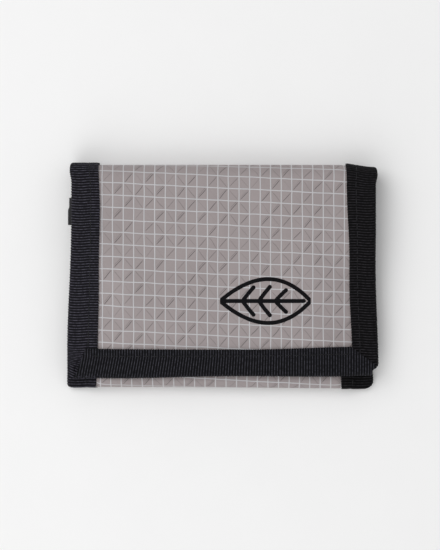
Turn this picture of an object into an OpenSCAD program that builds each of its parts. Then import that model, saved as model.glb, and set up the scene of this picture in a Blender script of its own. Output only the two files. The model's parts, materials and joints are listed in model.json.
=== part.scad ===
// Fabric bifold wallet, closed and lying on its back.
// Millimetres. X runs across the wallet, Y up towards the spine, Z out of the front.
// The origin is the middle of the footprint, on the surface that the wallet rests on.

/* [Body] */
// Half of the body's width, to the outside of the edge tape
body_half = 61.5; // [58:0.5:62.5]
// Half of the closed wallet's height
half_h = 45.5; // [44:0.5:50]
// Thickness of the outer fabric
fabric_t = 0.6; // [0.4:0.1:0.8]
// Thickness of a lining
lining_t = 0.3; // [0.2:0.1:0.4]
// Free height inside the note compartment
note_gap = 4.2; // [4.2:0.2:6]
// Free height inside the coin pocket
coin_gap = 1.8; // [1.8:0.1:2.5]

/* [Flap] */
// Half of the cover flap's width at its free edge
flap_half = 62.75; // [61:0.25:64]
// How far the free edge stays above the body's bottom fold
flap_rise = 4.4; // [3:0.2:8]
// Height of one card slot layer
slot_t = 0.4; // [0.3:0.1:0.5]
// Step between the card slots' mouths
slot_step = 8; // [6:0.5:10]

/* [Edge tape] */
// Thickness of the woven tape
tape_t = 0.8; // [0.6:0.1:1]
// Width of the tape on the face that it covers
tape_leg = 11.5; // [9:0.5:13]

/* [Zip] */
// Distance of the zip's middle above the wallet's middle
zip_y = 31; // [26:0.5:31]
// Length of the row of teeth
zip_len = 82; // [70:2:84]
// Distance from one tooth to the next in the same row
tooth_pitch = 2; // [1.9:0.1:2.4]

/* [Fasteners] */
// Width of the hook and loop strips
strip_w = 80; // [60:1:90]
// Height of the hook and loop strips
strip_h = 10; // [8:0.5:12]
// Width of the key loop's webbing
webbing_w = 11; // [8:0.5:12]

/* [Hidden] */
$fn = 64;
tiny = 0.01;
// Over-length of a cut, and the turn between two points of a rounded outline
over = 1;
turn_step = 15;

fabric_col = [0.62, 0.59, 0.59];
lining_col = [0.34, 0.33, 0.34];
tape_col = [0.12, 0.12, 0.13];
metal_col = [0.55, 0.55, 0.56];

// Heights of the layers, from the table up
z_back = tape_t;
z_back_lining = z_back + fabric_t;
z_note = z_back_lining + lining_t;
z_divider = z_note + note_gap;
z_coin = z_divider + lining_t;
z_front = z_coin + coin_gap;
z_front_top = z_front + fabric_t;
strip_t = 0.8;
strip_play = 0.1;
slot_count = 3;
z_hook = z_front_top + strip_t + strip_play;
z_slots = z_hook + strip_t;
z_flap_lining = z_slots + slot_count * slot_t;
z_flap = z_flap_lining + lining_t;
z_flap_tape = z_flap + fabric_t;
total_t = z_flap_tape + tape_t;

// Rolled spine: a half round from the back panel to the flap
spine_r = total_t / 2;
spine_y = half_h - spine_r;
fabric_r = spine_r - tape_t;
lining_r = fabric_r - fabric_t;
inner_tape_r = lining_r - lining_t;
// Radius of the tape's fold round the spine's side edge
spine_nose = (spine_r - inner_tape_r + tape_t) / 2;
// Sheets end this far inside the outside of their tape's fold
side_inset = 1.9;
edge_half = body_half - side_inset;
// Angles of the rigid stretches of the roll, counted up from the back
base_end = 43;
spine_start = 46;
tape_gap = 4;

// Side pinch: the layers come together between these two distances from the middle
pinch_in = 46;
pinch_out = 58;
edge_divider = z_note;
edge_front = z_note + lining_t;
edge_top = edge_front + fabric_t;
steps = 8;
function rise(x) = let(t = min(1, max(0, (pinch_out - abs(x)) / (pinch_out - pinch_in))))
  t * t * (3 - 2 * t);
function arch(x, mid, edge) = edge + (mid - edge) * rise(x);
slope_x = [for (i = [0 : steps]) pinch_in + i * (pinch_out - pinch_in) / steps];
right_x = concat(slope_x, [edge_half]);
left_x = [for (i = [len(right_x) - 1 : -1 : 0]) -right_x[i]];
sheet_x = concat(left_x, right_x);

fold_y = -half_h + (z_front_top - z_back) / 2;
// Upper edge of the coin pocket's wall
mouth_y = 38.4;
// Half widths of the opening round the zip and of the closed rows of teeth
gap_half = 3.6;
chain_half = 1.95;
// Lower edge of the hook and loop strips
strip_y = -29.5;
// The flap's free edge, the inner edge of its tape, and where its sheets begin
flap_y = -half_h + flap_rise;
flap_in_y = flap_y + tape_leg;
flap_sheet_y = flap_y + 2;
// Degrees by which the flap's side tapes spread towards its free edge
flap_taper = 0.85;

// A flat sheet across the wallet
module plate(half_w, y0, y1, z, t) {
  translate([-half_w, y0, z]) cube([2 * half_w, y1 - y0, t]);
}

// An outline in X and Z, carried along Y from y0 to y1
module along_y(y0, y1) {
  translate([0, y1, 0]) rotate([90, 0, 0]) linear_extrude(y1 - y0) children();
}

// An outline in Y and Z, carried along X to both sides of the middle
module along_x(half_w) {
  rotate([90, 0, 90]) linear_extrude(2 * half_w, center = true) children();
}

// A profile in radius and X, turned about the spine's own centre line
module roll(a0, a1) {
  translate([0, spine_y, spine_r]) rotate([0, 90, 0]) rotate([0, 0, a0])
    rotate_extrude(angle = a1 - a0) children();
}

// The flap's stretch of the roll mirrors the body's
module above() {
  translate([0, 0, total_t]) mirror([0, 0, 1]) children();
}

module rolled_sheet(r, t, half_w, a0, a1) {
  roll(a0, a1) translate([r, -half_w]) square([t, 2 * half_w]);
}

// A sheet that lies high in the middle and comes down to the pinched sides
module arch_sheet(mid, edge, t, y0, y1) {
  low = [for (x = sheet_x) [x, arch(x, mid, edge)]];
  high = [for (i = [len(sheet_x) - 1 : -1 : 0]) low[i] + [0, t]];
  along_y(y0, y1) polygon(concat(low, high));
}

// Tape folded round an edge: reach is its inner edge, edge is the outside of its fold
module fold_outline(reach, edge, lo, hi) {
  r = (hi - lo) / 2;
  difference() {
    union() {
      translate([reach, lo]) square([edge - r - reach, hi - lo]);
      translate([edge - r, lo + r]) circle(r);
    }
    translate([reach - tiny, lo + tape_t]) square([edge - r - reach + tiny, hi - lo - 2 * tape_t]);
    translate([edge - r, lo + r]) circle(r - tape_t);
  }
}

// The same for the body's side, where the upper leg follows the pinched front
module side_outline() {
  reach = body_half - tape_leg;
  r = (edge_top + tape_t) / 2;
  top_x = concat([reach], [for (x = slope_x) if (x > reach) x]);
  nose = [for (a = [-90 : turn_step : 90]) [body_half - r + r * cos(a), r + r * sin(a)]];
  ri = r - tape_t;
  hollow = [for (a = [90 : -turn_step : -90]) [body_half - r + ri * cos(a), r + ri * sin(a)]];
  top = [for (i = [len(top_x) - 1 : -1 : 0])
    [top_x[i], arch(top_x[i], z_front_top, edge_top) + tape_t]];
  under = [for (x = top_x) [x, arch(x, z_front_top, edge_top)]];
  polygon(concat([[reach, 0]], nose, top, under, hollow, [[reach, tape_t]]));
}

// ---- Body ----

module back_panel() color(fabric_col) union() {
  plate(edge_half, fold_y, spine_y, z_back, fabric_t);
  rolled_sheet(lining_r, fabric_t, edge_half, 0, base_end);
}

module back_lining() color(lining_col) union() {
  plate(edge_half, fold_y, spine_y, z_back_lining, lining_t);
  rolled_sheet(inner_tape_r, lining_t, edge_half, 0, base_end);
}

// The outer fabric turns up from the back to the front in a half round whose size follows
// the pinched sides. Each ring runs round the fabric's outside and back along its inside.
module bottom_fold() color(fabric_col) {
  turn = [for (a = [0 : turn_step : 180]) a];
  rings = [for (x = sheet_x)
    let(top = arch(x, z_front_top, edge_top), r = (top - z_back) / 2,
        cy = -half_h + r, cz = z_back + r)
    concat([[x, fold_y, z_back]],
      [for (a = turn) [x, cy - r * sin(a), cz - r * cos(a)]],
      [[x, fold_y, top], [x, fold_y, top - fabric_t]],
      [for (i = [len(turn) - 1 : -1 : 0]) let(a = turn[i], q = r - fabric_t)
        [x, cy - q * sin(a), cz - q * cos(a)]],
      [[x, fold_y, z_back + fabric_t]])];
  n = len(rings[0]);
  last = len(rings) - 1;
  half = n / 2;
  walls = [for (i = [0 : last - 1], j = [0 : n - 1]) let(k = (j + 1) % n)
    each [[i * n + j, i * n + k, (i + 1) * n + k], [i * n + j, (i + 1) * n + k, (i + 1) * n + j]]];
  ends = [for (j = [0 : half - 2]) let(a = j, b = j + 1, c = n - 2 - j, d = n - 1 - j)
    each [[a, d, c], [a, c, b], [last * n + a, last * n + b, last * n + c],
          [last * n + a, last * n + c, last * n + d]]];
  polyhedron([for (r = rings) each r], concat(walls, ends));
}

module front_panel() color(fabric_col)
  arch_sheet(z_front, edge_front, fabric_t, fold_y, zip_y - gap_half);

module zip_top_panel() color(fabric_col)
  arch_sheet(z_front, edge_front, fabric_t, zip_y + gap_half, mouth_y);

module pocket_divider() color(lining_col)
  arch_sheet(z_divider, edge_divider, lining_t, fold_y, mouth_y);

// Narrow tape round the upper edge of the divider and the strip above the zip
module mouth_binding() color(tape_col) {
  leg = 2.6;
  t = 0.4;
  y1 = mouth_y + t;
  half_w = pinch_in;
  plate(half_w, mouth_y - leg, y1, z_front_top, t);
  plate(half_w, mouth_y - leg, y1, z_divider - t, t);
  plate(half_w, mouth_y, y1, z_divider - tiny, z_front_top - z_divider + 2 * tiny);
}

zip_tape_t = 0.4;
zip_tape_w = 6.6;
zip_tape_half = pinch_in - 1;
tooth_t = 1.4;
tooth_z = z_front - zip_tape_t / 2 - tooth_t / 2;

// The cord edge of each tape is held by the teeth, so it stops where they begin
module zip_tape(side) {
  y0 = zip_y + (side > 0 ? chain_half : -zip_tape_w);
  y1 = zip_y + (side > 0 ? zip_tape_w : -chain_half);
  color(tape_col) plate(zip_tape_half, y0, y1, z_front - zip_tape_t, zip_tape_t);
}

module zip_tape_lower() zip_tape(-1);
module zip_tape_upper() zip_tape(1);

// One moulded tooth: a broad foot on the tape, a narrow neck and a head that hooks behind
// the heads of the other row
head_w = 1.1;
neck_w = 0.62;
head_y = 0.75;
head_root = 0.15;
head_cut = 0.2;
foot_y = 1.1;
module tooth() {
  polygon([
    [-head_w / 2 + head_cut, head_y], [-head_w / 2, head_y - head_cut], [-head_w / 2, head_root],
    [-neck_w / 2, head_root], [-neck_w / 2, -foot_y], [-head_w / 2, -foot_y],
    [-head_w / 2, -chain_half], [head_w / 2, -chain_half], [head_w / 2, -foot_y],
    [neck_w / 2, -foot_y], [neck_w / 2, head_root], [head_w / 2, head_root],
    [head_w / 2, head_y - head_cut], [head_w / 2 - head_cut, head_y]
  ]);
}

module teeth(side) {
  count = floor(zip_len / tooth_pitch);
  start = -zip_len / 2 - (side > 0 ? 0 : tooth_pitch / 2);
  color(metal_col) for (i = [0 : count - 1])
    translate([start + i * tooth_pitch, zip_y, tooth_z]) linear_extrude(tooth_t)
      mirror([0, side > 0 ? 1 : 0]) tooth();
}

module zip_teeth_lower() teeth(-1);
module zip_teeth_upper() teeth(1);

// A cramped bottom stop across both rows, and a top stop on each tape
stop_x = 44.2;
module zip_stops() color(metal_col) {
  bottom_l = 1.6;
  top_l = 1.4;
  top_w = 1.2;
  top_x = stop_x + 0.2;
  translate([-stop_x - bottom_l / 2, zip_y - chain_half, tooth_z])
    cube([bottom_l, 2 * chain_half, tooth_t]);
  for (y = [-chain_half, chain_half - top_w]) translate([top_x, zip_y + y, tooth_z])
    cube([top_l, top_w, tooth_t]);
}

module loop_strip() color(tape_col)
  plate(strip_w / 2, strip_y, strip_y + strip_h, z_front_top, strip_t);

// The body's side tape: a straight run over all the layers, rounded off at the bottom fold,
// then the stretch of the rolled spine that stays with the body
module base_binding(side) color(tape_col) mirror([side > 0 ? 0 : 1, 0, 0]) union() {
  round_r = 3;
  round_z = round_r + 1;
  y0 = -half_h + 0.1;
  intersection() {
    along_y(y0, mouth_y) side_outline();
    along_x(body_half + over) union() {
      translate([y0 + round_r, 0]) square([2 * half_h, total_t]);
      translate([y0 + round_r, round_z]) circle(round_r);
      translate([y0, 0]) square([round_r, round_z]);
    }
  }
  translate([body_half - tape_leg, mouth_y - tiny, 0])
    cube([tape_leg - spine_nose, spine_y - mouth_y + tiny, tape_t]);
  roll(0, base_end - tape_gap) rolled_outline();
}

module base_binding_left() base_binding(-1);
module base_binding_right() base_binding(1);

// ---- Spine ----

module spine_panel() color(fabric_col)
  rolled_sheet(lining_r, fabric_t, edge_half, spine_start, 180 - spine_start);

module spine_lining() color(lining_col)
  rolled_sheet(inner_tape_r, lining_t, edge_half, spine_start, 180 - spine_start);

// Tape round the spine's side edge, as radius and height along X
module rolled_outline() {
  lo = inner_tape_r - tape_t;
  rotate([0, 0, -90]) mirror([1, 0]) fold_outline(body_half - tape_leg, body_half, lo, spine_r);
}

module spine_binding(side) color(tape_col)
  roll(spine_start + tape_gap, 180 - spine_start - tape_gap)
    mirror([0, side > 0 ? 0 : 1]) rolled_outline();

module spine_binding_left() spine_binding(-1);
module spine_binding_right() spine_binding(1);

// ---- Flap ----

module flap_panel() color(fabric_col) union() {
  plate(edge_half, flap_sheet_y, spine_y, z_flap, fabric_t);
  above() rolled_sheet(lining_r, fabric_t, edge_half, 0, base_end);
}

module flap_lining() color(lining_col) union() {
  plate(edge_half, flap_sheet_y, spine_y, z_flap_lining, lining_t);
  above() rolled_sheet(inner_tape_r, lining_t, edge_half, 0, base_end);
}

// Mouth of the card slot nearest to the spine
slot_mouth = 14;
slot_half = edge_half - 1;
// Side and bottom tapes meet on a slanting cut at each lower corner
module corner_cut() {
  low_y = flap_y + 5;
  high_y = flap_in_y - 2;
  inner_x = flap_half - tape_leg;
  linear_extrude(total_t + over) polygon([
    [-2 * half_h, -2 * half_h], [2 * half_h, -2 * half_h], [2 * half_h, low_y],
    [flap_half, low_y], [inner_x, high_y], [inner_x, flap_in_y],
    [-inner_x, flap_in_y], [-inner_x, high_y], [-flap_half, low_y], [-2 * half_h, low_y]
  ]);
}

module flap_binding(side) color(tape_col) mirror([side > 0 ? 0 : 1, 0, 0]) union() {
  difference() {
    translate([body_half, spine_y, 0]) rotate([0, 0, flap_taper]) translate([-body_half, -spine_y, 0])
      union() {
        along_y(slot_mouth, spine_y)
          fold_outline(body_half - tape_leg, body_half, z_flap_lining - tape_t, total_t);
        along_y(flap_y - over, slot_mouth + tiny)
          fold_outline(body_half - tape_leg, body_half, z_hook, total_t);
      }
    corner_cut();
    translate([0, spine_y, 0]) cube([2 * half_h, half_h, total_t + over]);
  }
  above() roll(0, base_end - tape_gap) rolled_outline();
}

module flap_binding_left() flap_binding(-1);
module flap_binding_right() flap_binding(1);

module flap_binding_bottom() color(tape_col) intersection() {
  along_x(flap_half) mirror([1, 0]) fold_outline(-flap_in_y, -flap_y, z_hook, total_t);
  corner_cut();
}

// Card slots: each layer ends at its own mouth, one step below the one behind it
module card_slot(i) color(lining_col)
  plate(slot_half, flap_sheet_y, slot_mouth - i * slot_step, z_flap_lining - (i + 1) * slot_t, slot_t);

module card_slot_1() card_slot(0);
module card_slot_2() card_slot(1);
module card_slot_3() card_slot(2);

module hook_strip() color(tape_col)
  plate(strip_w / 2, strip_y, strip_y + strip_h, z_hook, strip_t);

// Printed leaf outline: two arcs that meet in points, a midrib and slanting side veins
print_t = 0.1;
line_w = 1.4;
leaf_l = 38;
leaf_h = 19;
leaf_x = 17.2;
leaf_y = -10.5;
vein_step = 7;
vein_angle = 50;
module leaf(l, h) {
  r = (l * l / 4 + h * h / 4) / h;
  intersection() {
    translate([0, h / 2 - r]) circle(r);
    translate([0, r - h / 2]) circle(r);
  }
}
module emblem() color(tape_col)
  translate([leaf_x, leaf_y, z_flap_tape]) linear_extrude(print_t) union() {
    difference() {
      leaf(leaf_l, leaf_h);
      leaf(leaf_l - 4 * line_w, leaf_h - 2 * line_w);
    }
    intersection() {
      leaf(leaf_l, leaf_h);
      union() {
        translate([-leaf_l / 2, -line_w / 2]) square([leaf_l, line_w]);
        for (i = [-1 : 1], s = [-1, 1])
          translate([i * vein_step, 0]) rotate([0, 0, s * vein_angle]) translate([0, -line_w / 2])
            square([leaf_h, line_w]);
      }
    }
  }

// ---- Slider and puller ----

slider_x = 38.6;
slider_l = 8.6;
slider_half = 3.1;
plate_t = 0.55;
plate_gap = 0.1;
rim_w = 0.5;
z_upper_plate = tooth_z + tooth_t + plate_gap;
z_lower_plate = tooth_z - plate_gap - plate_t;
// The puller's bar, and how far its middle lies from the slider's middle and upper plate
bar_r = 0.34;
bar_play = 0.06;
pivot_h = 0.62;
pivot_x = slider_x + 0.6;
pivot_z = z_upper_plate + plate_t + pivot_h;

// Plate outline: shoulders at the mouth end, narrowing to the tail
function slider_w(u) = slider_half * (0.8 + 0.2 * sin(90 * min(1, u * 1.6)))
  * sqrt(min(1, 6 * u + 0.35)) * sqrt(min(1, 6 * (1 - u) + 0.45));
module slider_plate(inset) {
  us = [for (i = [0 : 16]) i / 16];
  right = [for (u = us) [(u - 0.5) * (slider_l - 2 * inset), slider_w(u) - inset]];
  left = [for (i = [16 : -1 : 0]) [right[i].x, -right[i].y]];
  polygon(concat(right, left));
}

module zip_slider() color(metal_col) translate([0, zip_y, 0]) union() {
  rim_h = 0.35;
  translate([slider_x, 0, z_upper_plate]) linear_extrude(plate_t) slider_plate(0);
  translate([slider_x, 0, z_lower_plate]) linear_extrude(plate_t) slider_plate(0);
  // Rims turn in towards the tapes and guide the rows; the tapes leave between them
  for (z = [z_upper_plate - rim_h, z_lower_plate + plate_t])
    translate([slider_x, 0, z]) linear_extrude(rim_h) difference() {
      slider_plate(0);
      slider_plate(rim_w);
      translate([-slider_l, -chain_half]) square([2 * slider_l, 2 * chain_half]);
    }
  // Wedge that parts the rows, at the mouth end, and carries the upper plate
  wedge_r = 0.75;
  wedge_l = 1.6;
  wedge_tip = 0.1;
  translate([slider_x + slider_l / 2 - 2 * wedge_r, 0, z_lower_plate])
    linear_extrude(z_upper_plate - z_lower_plate + plate_t) union() {
      circle(wedge_r);
      polygon([[0, -wedge_r], [0, wedge_r], [-wedge_l, wedge_tip], [-wedge_l, -wedge_tip]]);
    }
  // Crown that holds the puller's bar: a foot with a round boss, bored for the bar
  crown_half = 1.9;
  crown_w = 1.5;
  foot_h = 0.7;
  boss_r = 0.95;
  difference() {
    translate([pivot_x, 0, z_upper_plate + plate_t - tiny]) rotate([90, 0, 0])
      linear_extrude(crown_w, center = true) difference() {
        union() {
          translate([-crown_half, 0]) square([2 * crown_half, foot_h]);
          translate([0, pivot_h]) circle(boss_r);
        }
        translate([-crown_half, -boss_r]) square([2 * crown_half, boss_r]);
      }
    translate([pivot_x, 0, pivot_z]) rotate([90, 0, 0])
      cylinder(r = bar_r + bar_play, h = crown_w + 2 * over, center = true);
  }
}

// Flat pull with an open eye round the crown, a bar through it, a waist and a hole to tie into
module zip_puller() color(metal_col) translate([pivot_x, zip_y, pivot_z]) {
  pull_l = 11.5;
  pull_t = 0.6;
  half_w = 1.9;
  waist_half = 1.4;
  waist_x = 5.5;
  shoulder_x = 3.5;
  eye_half = 0.95;
  eye_l = 3;
  tie_r = 0.8;
  end_x = pull_l - half_w;
  union() {
    translate([0, 0, -pull_t / 2]) linear_extrude(pull_t) difference() {
      union() {
        translate([-end_x, 0]) circle(half_w);
        polygon([[-end_x, half_w], [-waist_x, waist_half], [-shoulder_x, half_w], [bar_r, half_w],
                 [bar_r, -half_w], [-shoulder_x, -half_w], [-waist_x, -waist_half],
                 [-end_x, -half_w]]);
      }
      translate([-end_x, 0]) circle(tie_r);
      translate([-eye_l, -eye_half]) square([eye_l + over, 2 * eye_half]);
    }
    rotate([90, 0, 0]) cylinder(r = bar_r, h = 2 * half_w, center = true);
  }
}

// ---- Key loop ----

// Webbing folded back on itself and sewn together at its root, with an eye at the fold
loop_root_x = -51.6;
loop_root_z = 7.9;
loop_tip_x = -62.3;
loop_y = 25.8;
loop_dip = 11;
eye_r = 1.1;
strap_t = 0.8;
loop_r = eye_r + strap_t;
neck_l = 4;
module key_loop() color(tape_col)
  translate([loop_root_x, loop_y + webbing_w / 2, loop_root_z]) rotate([90, 0, 0])
    linear_extrude(webbing_w) rotate([0, 0, loop_dip]) {
      reach = (loop_root_x - loop_tip_x - loop_r) / cos(loop_dip);
      difference() {
        union() {
          translate([-reach, 0]) circle(loop_r);
          polygon([[-reach, loop_r], [-reach, -loop_r], [-reach + neck_l, -strap_t], [0, -strap_t],
                   [0, strap_t], [-reach + neck_l, strap_t]]);
        }
        translate([-reach, 0]) circle(eye_r);
      }
    }

back_panel();
back_lining();
bottom_fold();
front_panel();
zip_top_panel();
pocket_divider();
mouth_binding();
zip_tape_lower();
zip_tape_upper();
zip_teeth_lower();
zip_teeth_upper();
zip_stops();
loop_strip();
base_binding_left();
base_binding_right();
spine_panel();
spine_lining();
spine_binding_left();
spine_binding_right();
flap_panel();
flap_lining();
flap_binding_left();
flap_binding_right();
flap_binding_bottom();
card_slot_1();
card_slot_2();
card_slot_3();
hook_strip();
emblem();
zip_slider();
zip_puller();
key_loop();
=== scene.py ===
"""A fabric bifold wallet: ripstop cloth, woven edge tape, stitching, linings, fasteners and zip.

Every surface is a grid worked out as whole arrays, in metres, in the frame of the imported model.
"""
import json
import math
from functools import partialmethod, wraps

import bmesh
import bpy
import numpy as np
from bpy.props import FloatProperty, FloatVectorProperty, IntProperty, PointerProperty
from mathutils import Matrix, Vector


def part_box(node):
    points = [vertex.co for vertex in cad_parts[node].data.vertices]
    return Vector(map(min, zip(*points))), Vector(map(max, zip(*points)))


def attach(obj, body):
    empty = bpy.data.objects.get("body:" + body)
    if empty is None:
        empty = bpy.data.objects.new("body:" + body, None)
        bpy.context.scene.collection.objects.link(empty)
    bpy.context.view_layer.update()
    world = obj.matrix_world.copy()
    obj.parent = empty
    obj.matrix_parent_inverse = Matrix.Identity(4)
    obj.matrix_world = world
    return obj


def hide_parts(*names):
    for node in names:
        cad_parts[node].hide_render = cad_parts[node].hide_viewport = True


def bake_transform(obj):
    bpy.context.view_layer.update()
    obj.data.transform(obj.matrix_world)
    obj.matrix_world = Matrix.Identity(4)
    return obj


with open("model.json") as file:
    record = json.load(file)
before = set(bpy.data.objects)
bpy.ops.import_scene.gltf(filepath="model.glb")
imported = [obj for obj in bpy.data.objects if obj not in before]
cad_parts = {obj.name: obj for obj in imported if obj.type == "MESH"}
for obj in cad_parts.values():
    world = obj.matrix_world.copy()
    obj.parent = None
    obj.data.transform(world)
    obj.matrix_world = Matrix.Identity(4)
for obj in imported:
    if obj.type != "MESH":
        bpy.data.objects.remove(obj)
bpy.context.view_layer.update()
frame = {"nodes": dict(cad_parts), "record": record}

bl_info = {
    "name": "Fabric Bifold Wallet",
    "version": (1, 0, 0),
    "blender": (4, 5, 0),
    "location": "View3D > Sidebar > Wallet",
    "description": "Makes the cloth, tape, stitching and fasteners of a fabric bifold wallet",
    "category": "Add Mesh",
}

MM = 0.001


def low(node, axis):
    """Lowest coordinate of a node along an axis."""
    return float(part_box(node)[0][axis])


def high(node, axis):
    """Highest coordinate of a node along an axis."""
    return float(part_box(node)[1][axis])


X, Y, Z = 0, 1, 2
# The stack of layers, from the table up
TAPE_T = low("back_panel", Z)
CLOTH_T = low("back_lining", Z) - TAPE_T
SLOT_T = high("card_slot_1", Z) - low("card_slot_1", Z)
LINING_Z = high("card_slot_1", Z)
TOTAL_T = high("flap_binding_bottom", Z)
LINING_T = TOTAL_T - TAPE_T - CLOTH_T - LINING_Z
HOOK_Z = low("hook_strip", Z)
FRONT_Z = low("loop_strip", Z)
STRIP_T = high("loop_strip", Z) - FRONT_Z
DIVIDER_Z = high("pocket_divider", Z) - LINING_T
PINCH_Z = low("front_panel", Z) + CLOTH_T
# The roll of the spine, and the outlines of body and flap
HALF_H = -low("bottom_fold", Y)
SPINE_R = TOTAL_T / 2
SPINE_Y = HALF_H - SPINE_R
BODY_HALF = high("base_binding_right", X)
FLAP_HALF = high("flap_binding_bottom", X)
FLAP_Y = low("flap_binding_bottom", Y)
FLAP_TAPE_Y = high("flap_binding_bottom", Y)
MOUTH_Y = high("zip_top_panel", Y)
SLOT_MOUTHS = [high(f"card_slot_{i}", Y) for i in (1, 2, 3)]
ZIP_LOW = high("front_panel", Y)
ZIP_HIGH = low("zip_top_panel", Y)
ZIP_HALF = high("zip_tape_lower", X)
CLOTH_R = SPINE_R - TAPE_T
LINING_R = CLOTH_R - CLOTH_T
QUARTER = math.pi / 2
# The cloth without the swell of its cells, and the tape's points in each rib
CLOTH_BODY = CLOTH_T * 0.8
RIB_POINTS = 7
# Spacing of the points in the body's plain layers
LAYER_STEP = 1.5 * MM
# Corners of a thread's round section, and how much of it stands out of the cloth at its middle
TUBE_SIDES = 6
STITCH_LIFT = 0.3
FINE_THREAD = 0.13 * MM
# The slanting ends of the lower tape: distances below the middle, and x at each
LEFT_END = np.array([[29.8, 39.3, 41.1], [-55.6, -59.0, -60.6]]) * MM
RIGHT_END = np.array([[29.2, 36.7, 39.5, 41.1], [52.0, 62.3, 60.0, 60.2]]) * MM


# The stage: the floor, the sky, each lamp's name, place, width and power, and the camera
FLOOR_HALF = 1.6
SKY_STRENGTH = 0.6
LAMPS = (("key", (-0.6, 0.45, 1.0), 1.0, 6.4), ("front", (-0.4, -0.9, 0.7), 1.1, 4.9))
CAMERA_LENS = 146.1
CAMERA_PLACE = (-1.1 * MM, 0.0, 0.9126)


# ---- Numbers and surfaces ----

def ease(t):
    """0 below 0, 1 above 1, and a smooth cubic step between."""
    t = np.clip(t, 0.0, 1.0)
    return t * t * (3.0 - 2.0 * t)


def ramp(value, start, run):
    """0 up to a start and 1 from a run past it on, both in millimetres, with ease between."""
    return ease((value - start * MM) / (run * MM))


def hill(t):
    """A bell of height 1 at t = 0 that has all but gone at t = 1."""
    return np.exp(-4.0 * t * t)


def lay(*coordinates):
    """One grid from rows, columns, grids or single values of its coordinates."""
    return np.stack(np.broadcast_arrays(*coordinates), axis=2)


def spread(a, b, count):
    """A column of evenly spaced values, one for each row of a grid."""
    return np.linspace(a, b, count)[:, None]


def grid_quads(rows, cols, wrap=False):
    """Corner numbers of every square between neighbouring rows and columns."""
    i, j = np.meshgrid(np.arange(rows - 1), np.arange(cols if wrap else cols - 1), indexing="ij")
    i, j = i.ravel(), j.ravel()
    k = (j + 1) % cols
    return np.stack([i * cols + j, (i + 1) * cols + j, (i + 1) * cols + k, i * cols + k], axis=1)


def grid_normals(p):
    """Unit normals: the cross product of the slopes along the rows and along the columns."""
    du = np.gradient(p, axis=0)
    dv = np.gradient(p, axis=1)
    n = np.cross(du, dv)
    return n / np.maximum(np.linalg.norm(n, axis=2, keepdims=True), 1e-12)


class Shape:
    """Collects grids of points and squares, then makes one mesh object of them."""

    def __init__(self):
        self.points, self.quads, self.uvs, self.count = [], [], [], 0

    def add(self, points, quads, uv=None):
        points = points.reshape(-1, 3)
        uv = points[:, :2] if uv is None else uv.reshape(-1, 2)
        self.points.append(points)
        self.uvs.append(uv)
        self.quads.append(quads + self.count)
        self.count += len(points)
        return self

    def sheet(self, top, thickness, uv=None, relief=None, flip=False):
        """A closed sheet: the top grid, a copy moved inwards along the normals, and a rim."""
        rows, cols = top.shape[:2]
        n = grid_normals(top) * (-1.0 if flip else 1.0)
        thickness = np.broadcast_to(np.asarray(thickness, float), (rows, cols))
        under = top - n * thickness[..., None]
        if relief is not None:
            top = top + n * relief[..., None]
        uv = top[..., :2] if uv is None else uv
        face = grid_quads(rows, cols)
        size = rows * cols
        number = np.arange(size).reshape(rows, cols)
        rim = np.concatenate([number[0, :], number[1:, -1], number[-1, -2::-1], number[-2:0:-1, 0]])
        after = np.roll(rim, -1)
        # A handed grid's row 0 runs along +columns, which is clockwise seen from its top
        wall = np.stack([rim, after, after + size, rim + size], axis=1)
        quads = np.concatenate([face, face[:, ::-1] + size, wall])
        if flip:
            quads = quads[:, ::-1]
        return self.add(np.concatenate([top.reshape(-1, 3), under.reshape(-1, 3)]), quads,
                        np.concatenate([uv.reshape(-1, 2)] * 2))

    def tubes(self, centre, radius, side, up):
        """Round threads: centre is (threads, rings, 3), radius (threads, rings), and side and up
        span each ring. A ring of radius 0 closes an end."""
        count, rings = centre.shape[:2]
        turn = np.arange(TUBE_SIDES) * (2 * math.pi / TUBE_SIDES)
        ring = (side[:, :, None, :] * np.cos(turn)[None, None, :, None]
                + up[:, :, None, :] * np.sin(turn)[None, None, :, None])
        points = centre[:, :, None, :] + ring * radius[:, :, None, None]
        face = grid_quads(rings, TUBE_SIDES, wrap=True)
        quads = (face[None] + (np.arange(count) * rings * TUBE_SIDES)[:, None, None]).reshape(-1, 4)
        return self.add(points, quads)

    def build(self, name, sharp=50.0):
        """The object, with smooth faces and sharp edges past an angle."""
        points = np.concatenate(self.points)
        quads = np.concatenate(self.quads)
        uvs = np.concatenate(self.uvs)
        mesh = bpy.data.meshes.new(name)
        mesh.vertices.add(len(points))
        mesh.vertices.foreach_set("co", points.astype(np.float32).ravel())
        mesh.loops.add(quads.size)
        mesh.loops.foreach_set("vertex_index", quads.astype(np.int32).ravel())
        mesh.polygons.add(len(quads))
        mesh.polygons.foreach_set("loop_start", np.arange(0, quads.size, 4, dtype=np.int32))
        mesh.update(calc_edges=True)
        layer = mesh.uv_layers.new(name="cloth")
        layer.data.foreach_set("uv", uvs[quads.ravel()].astype(np.float32).ravel())
        mesh.validate()
        mesh.shade_smooth()
        mesh.set_sharp_from_angle(angle=math.radians(sharp))
        piece = bpy.data.objects.new(name, mesh)
        bpy.context.scene.collection.objects.link(piece)
        return piece


def close_poles(piece):
    """Merges points that lie on each other, such as those at a thread's ends."""
    work = bmesh.new()
    work.from_mesh(piece.data)
    bmesh.ops.remove_doubles(work, verts=work.verts, dist=1e-7)
    bmesh.ops.recalc_face_normals(work, faces=work.faces)
    work.to_mesh(piece.data)
    work.free()
    piece.data.shade_smooth()
    return piece


# ---- The wallet's own form ----

def rise(x):
    """1 over the pockets, easing to 0 where the layers are pinched together at the sides."""
    s = settings()
    return ease((s.pinch_out - np.abs(x)) / (s.pinch_out - s.pinch_in))


def arch(x, middle, edge):
    """A height that is middle over the pockets and edge at the pinched sides."""
    return edge + (middle - edge) * rise(x)


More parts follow.
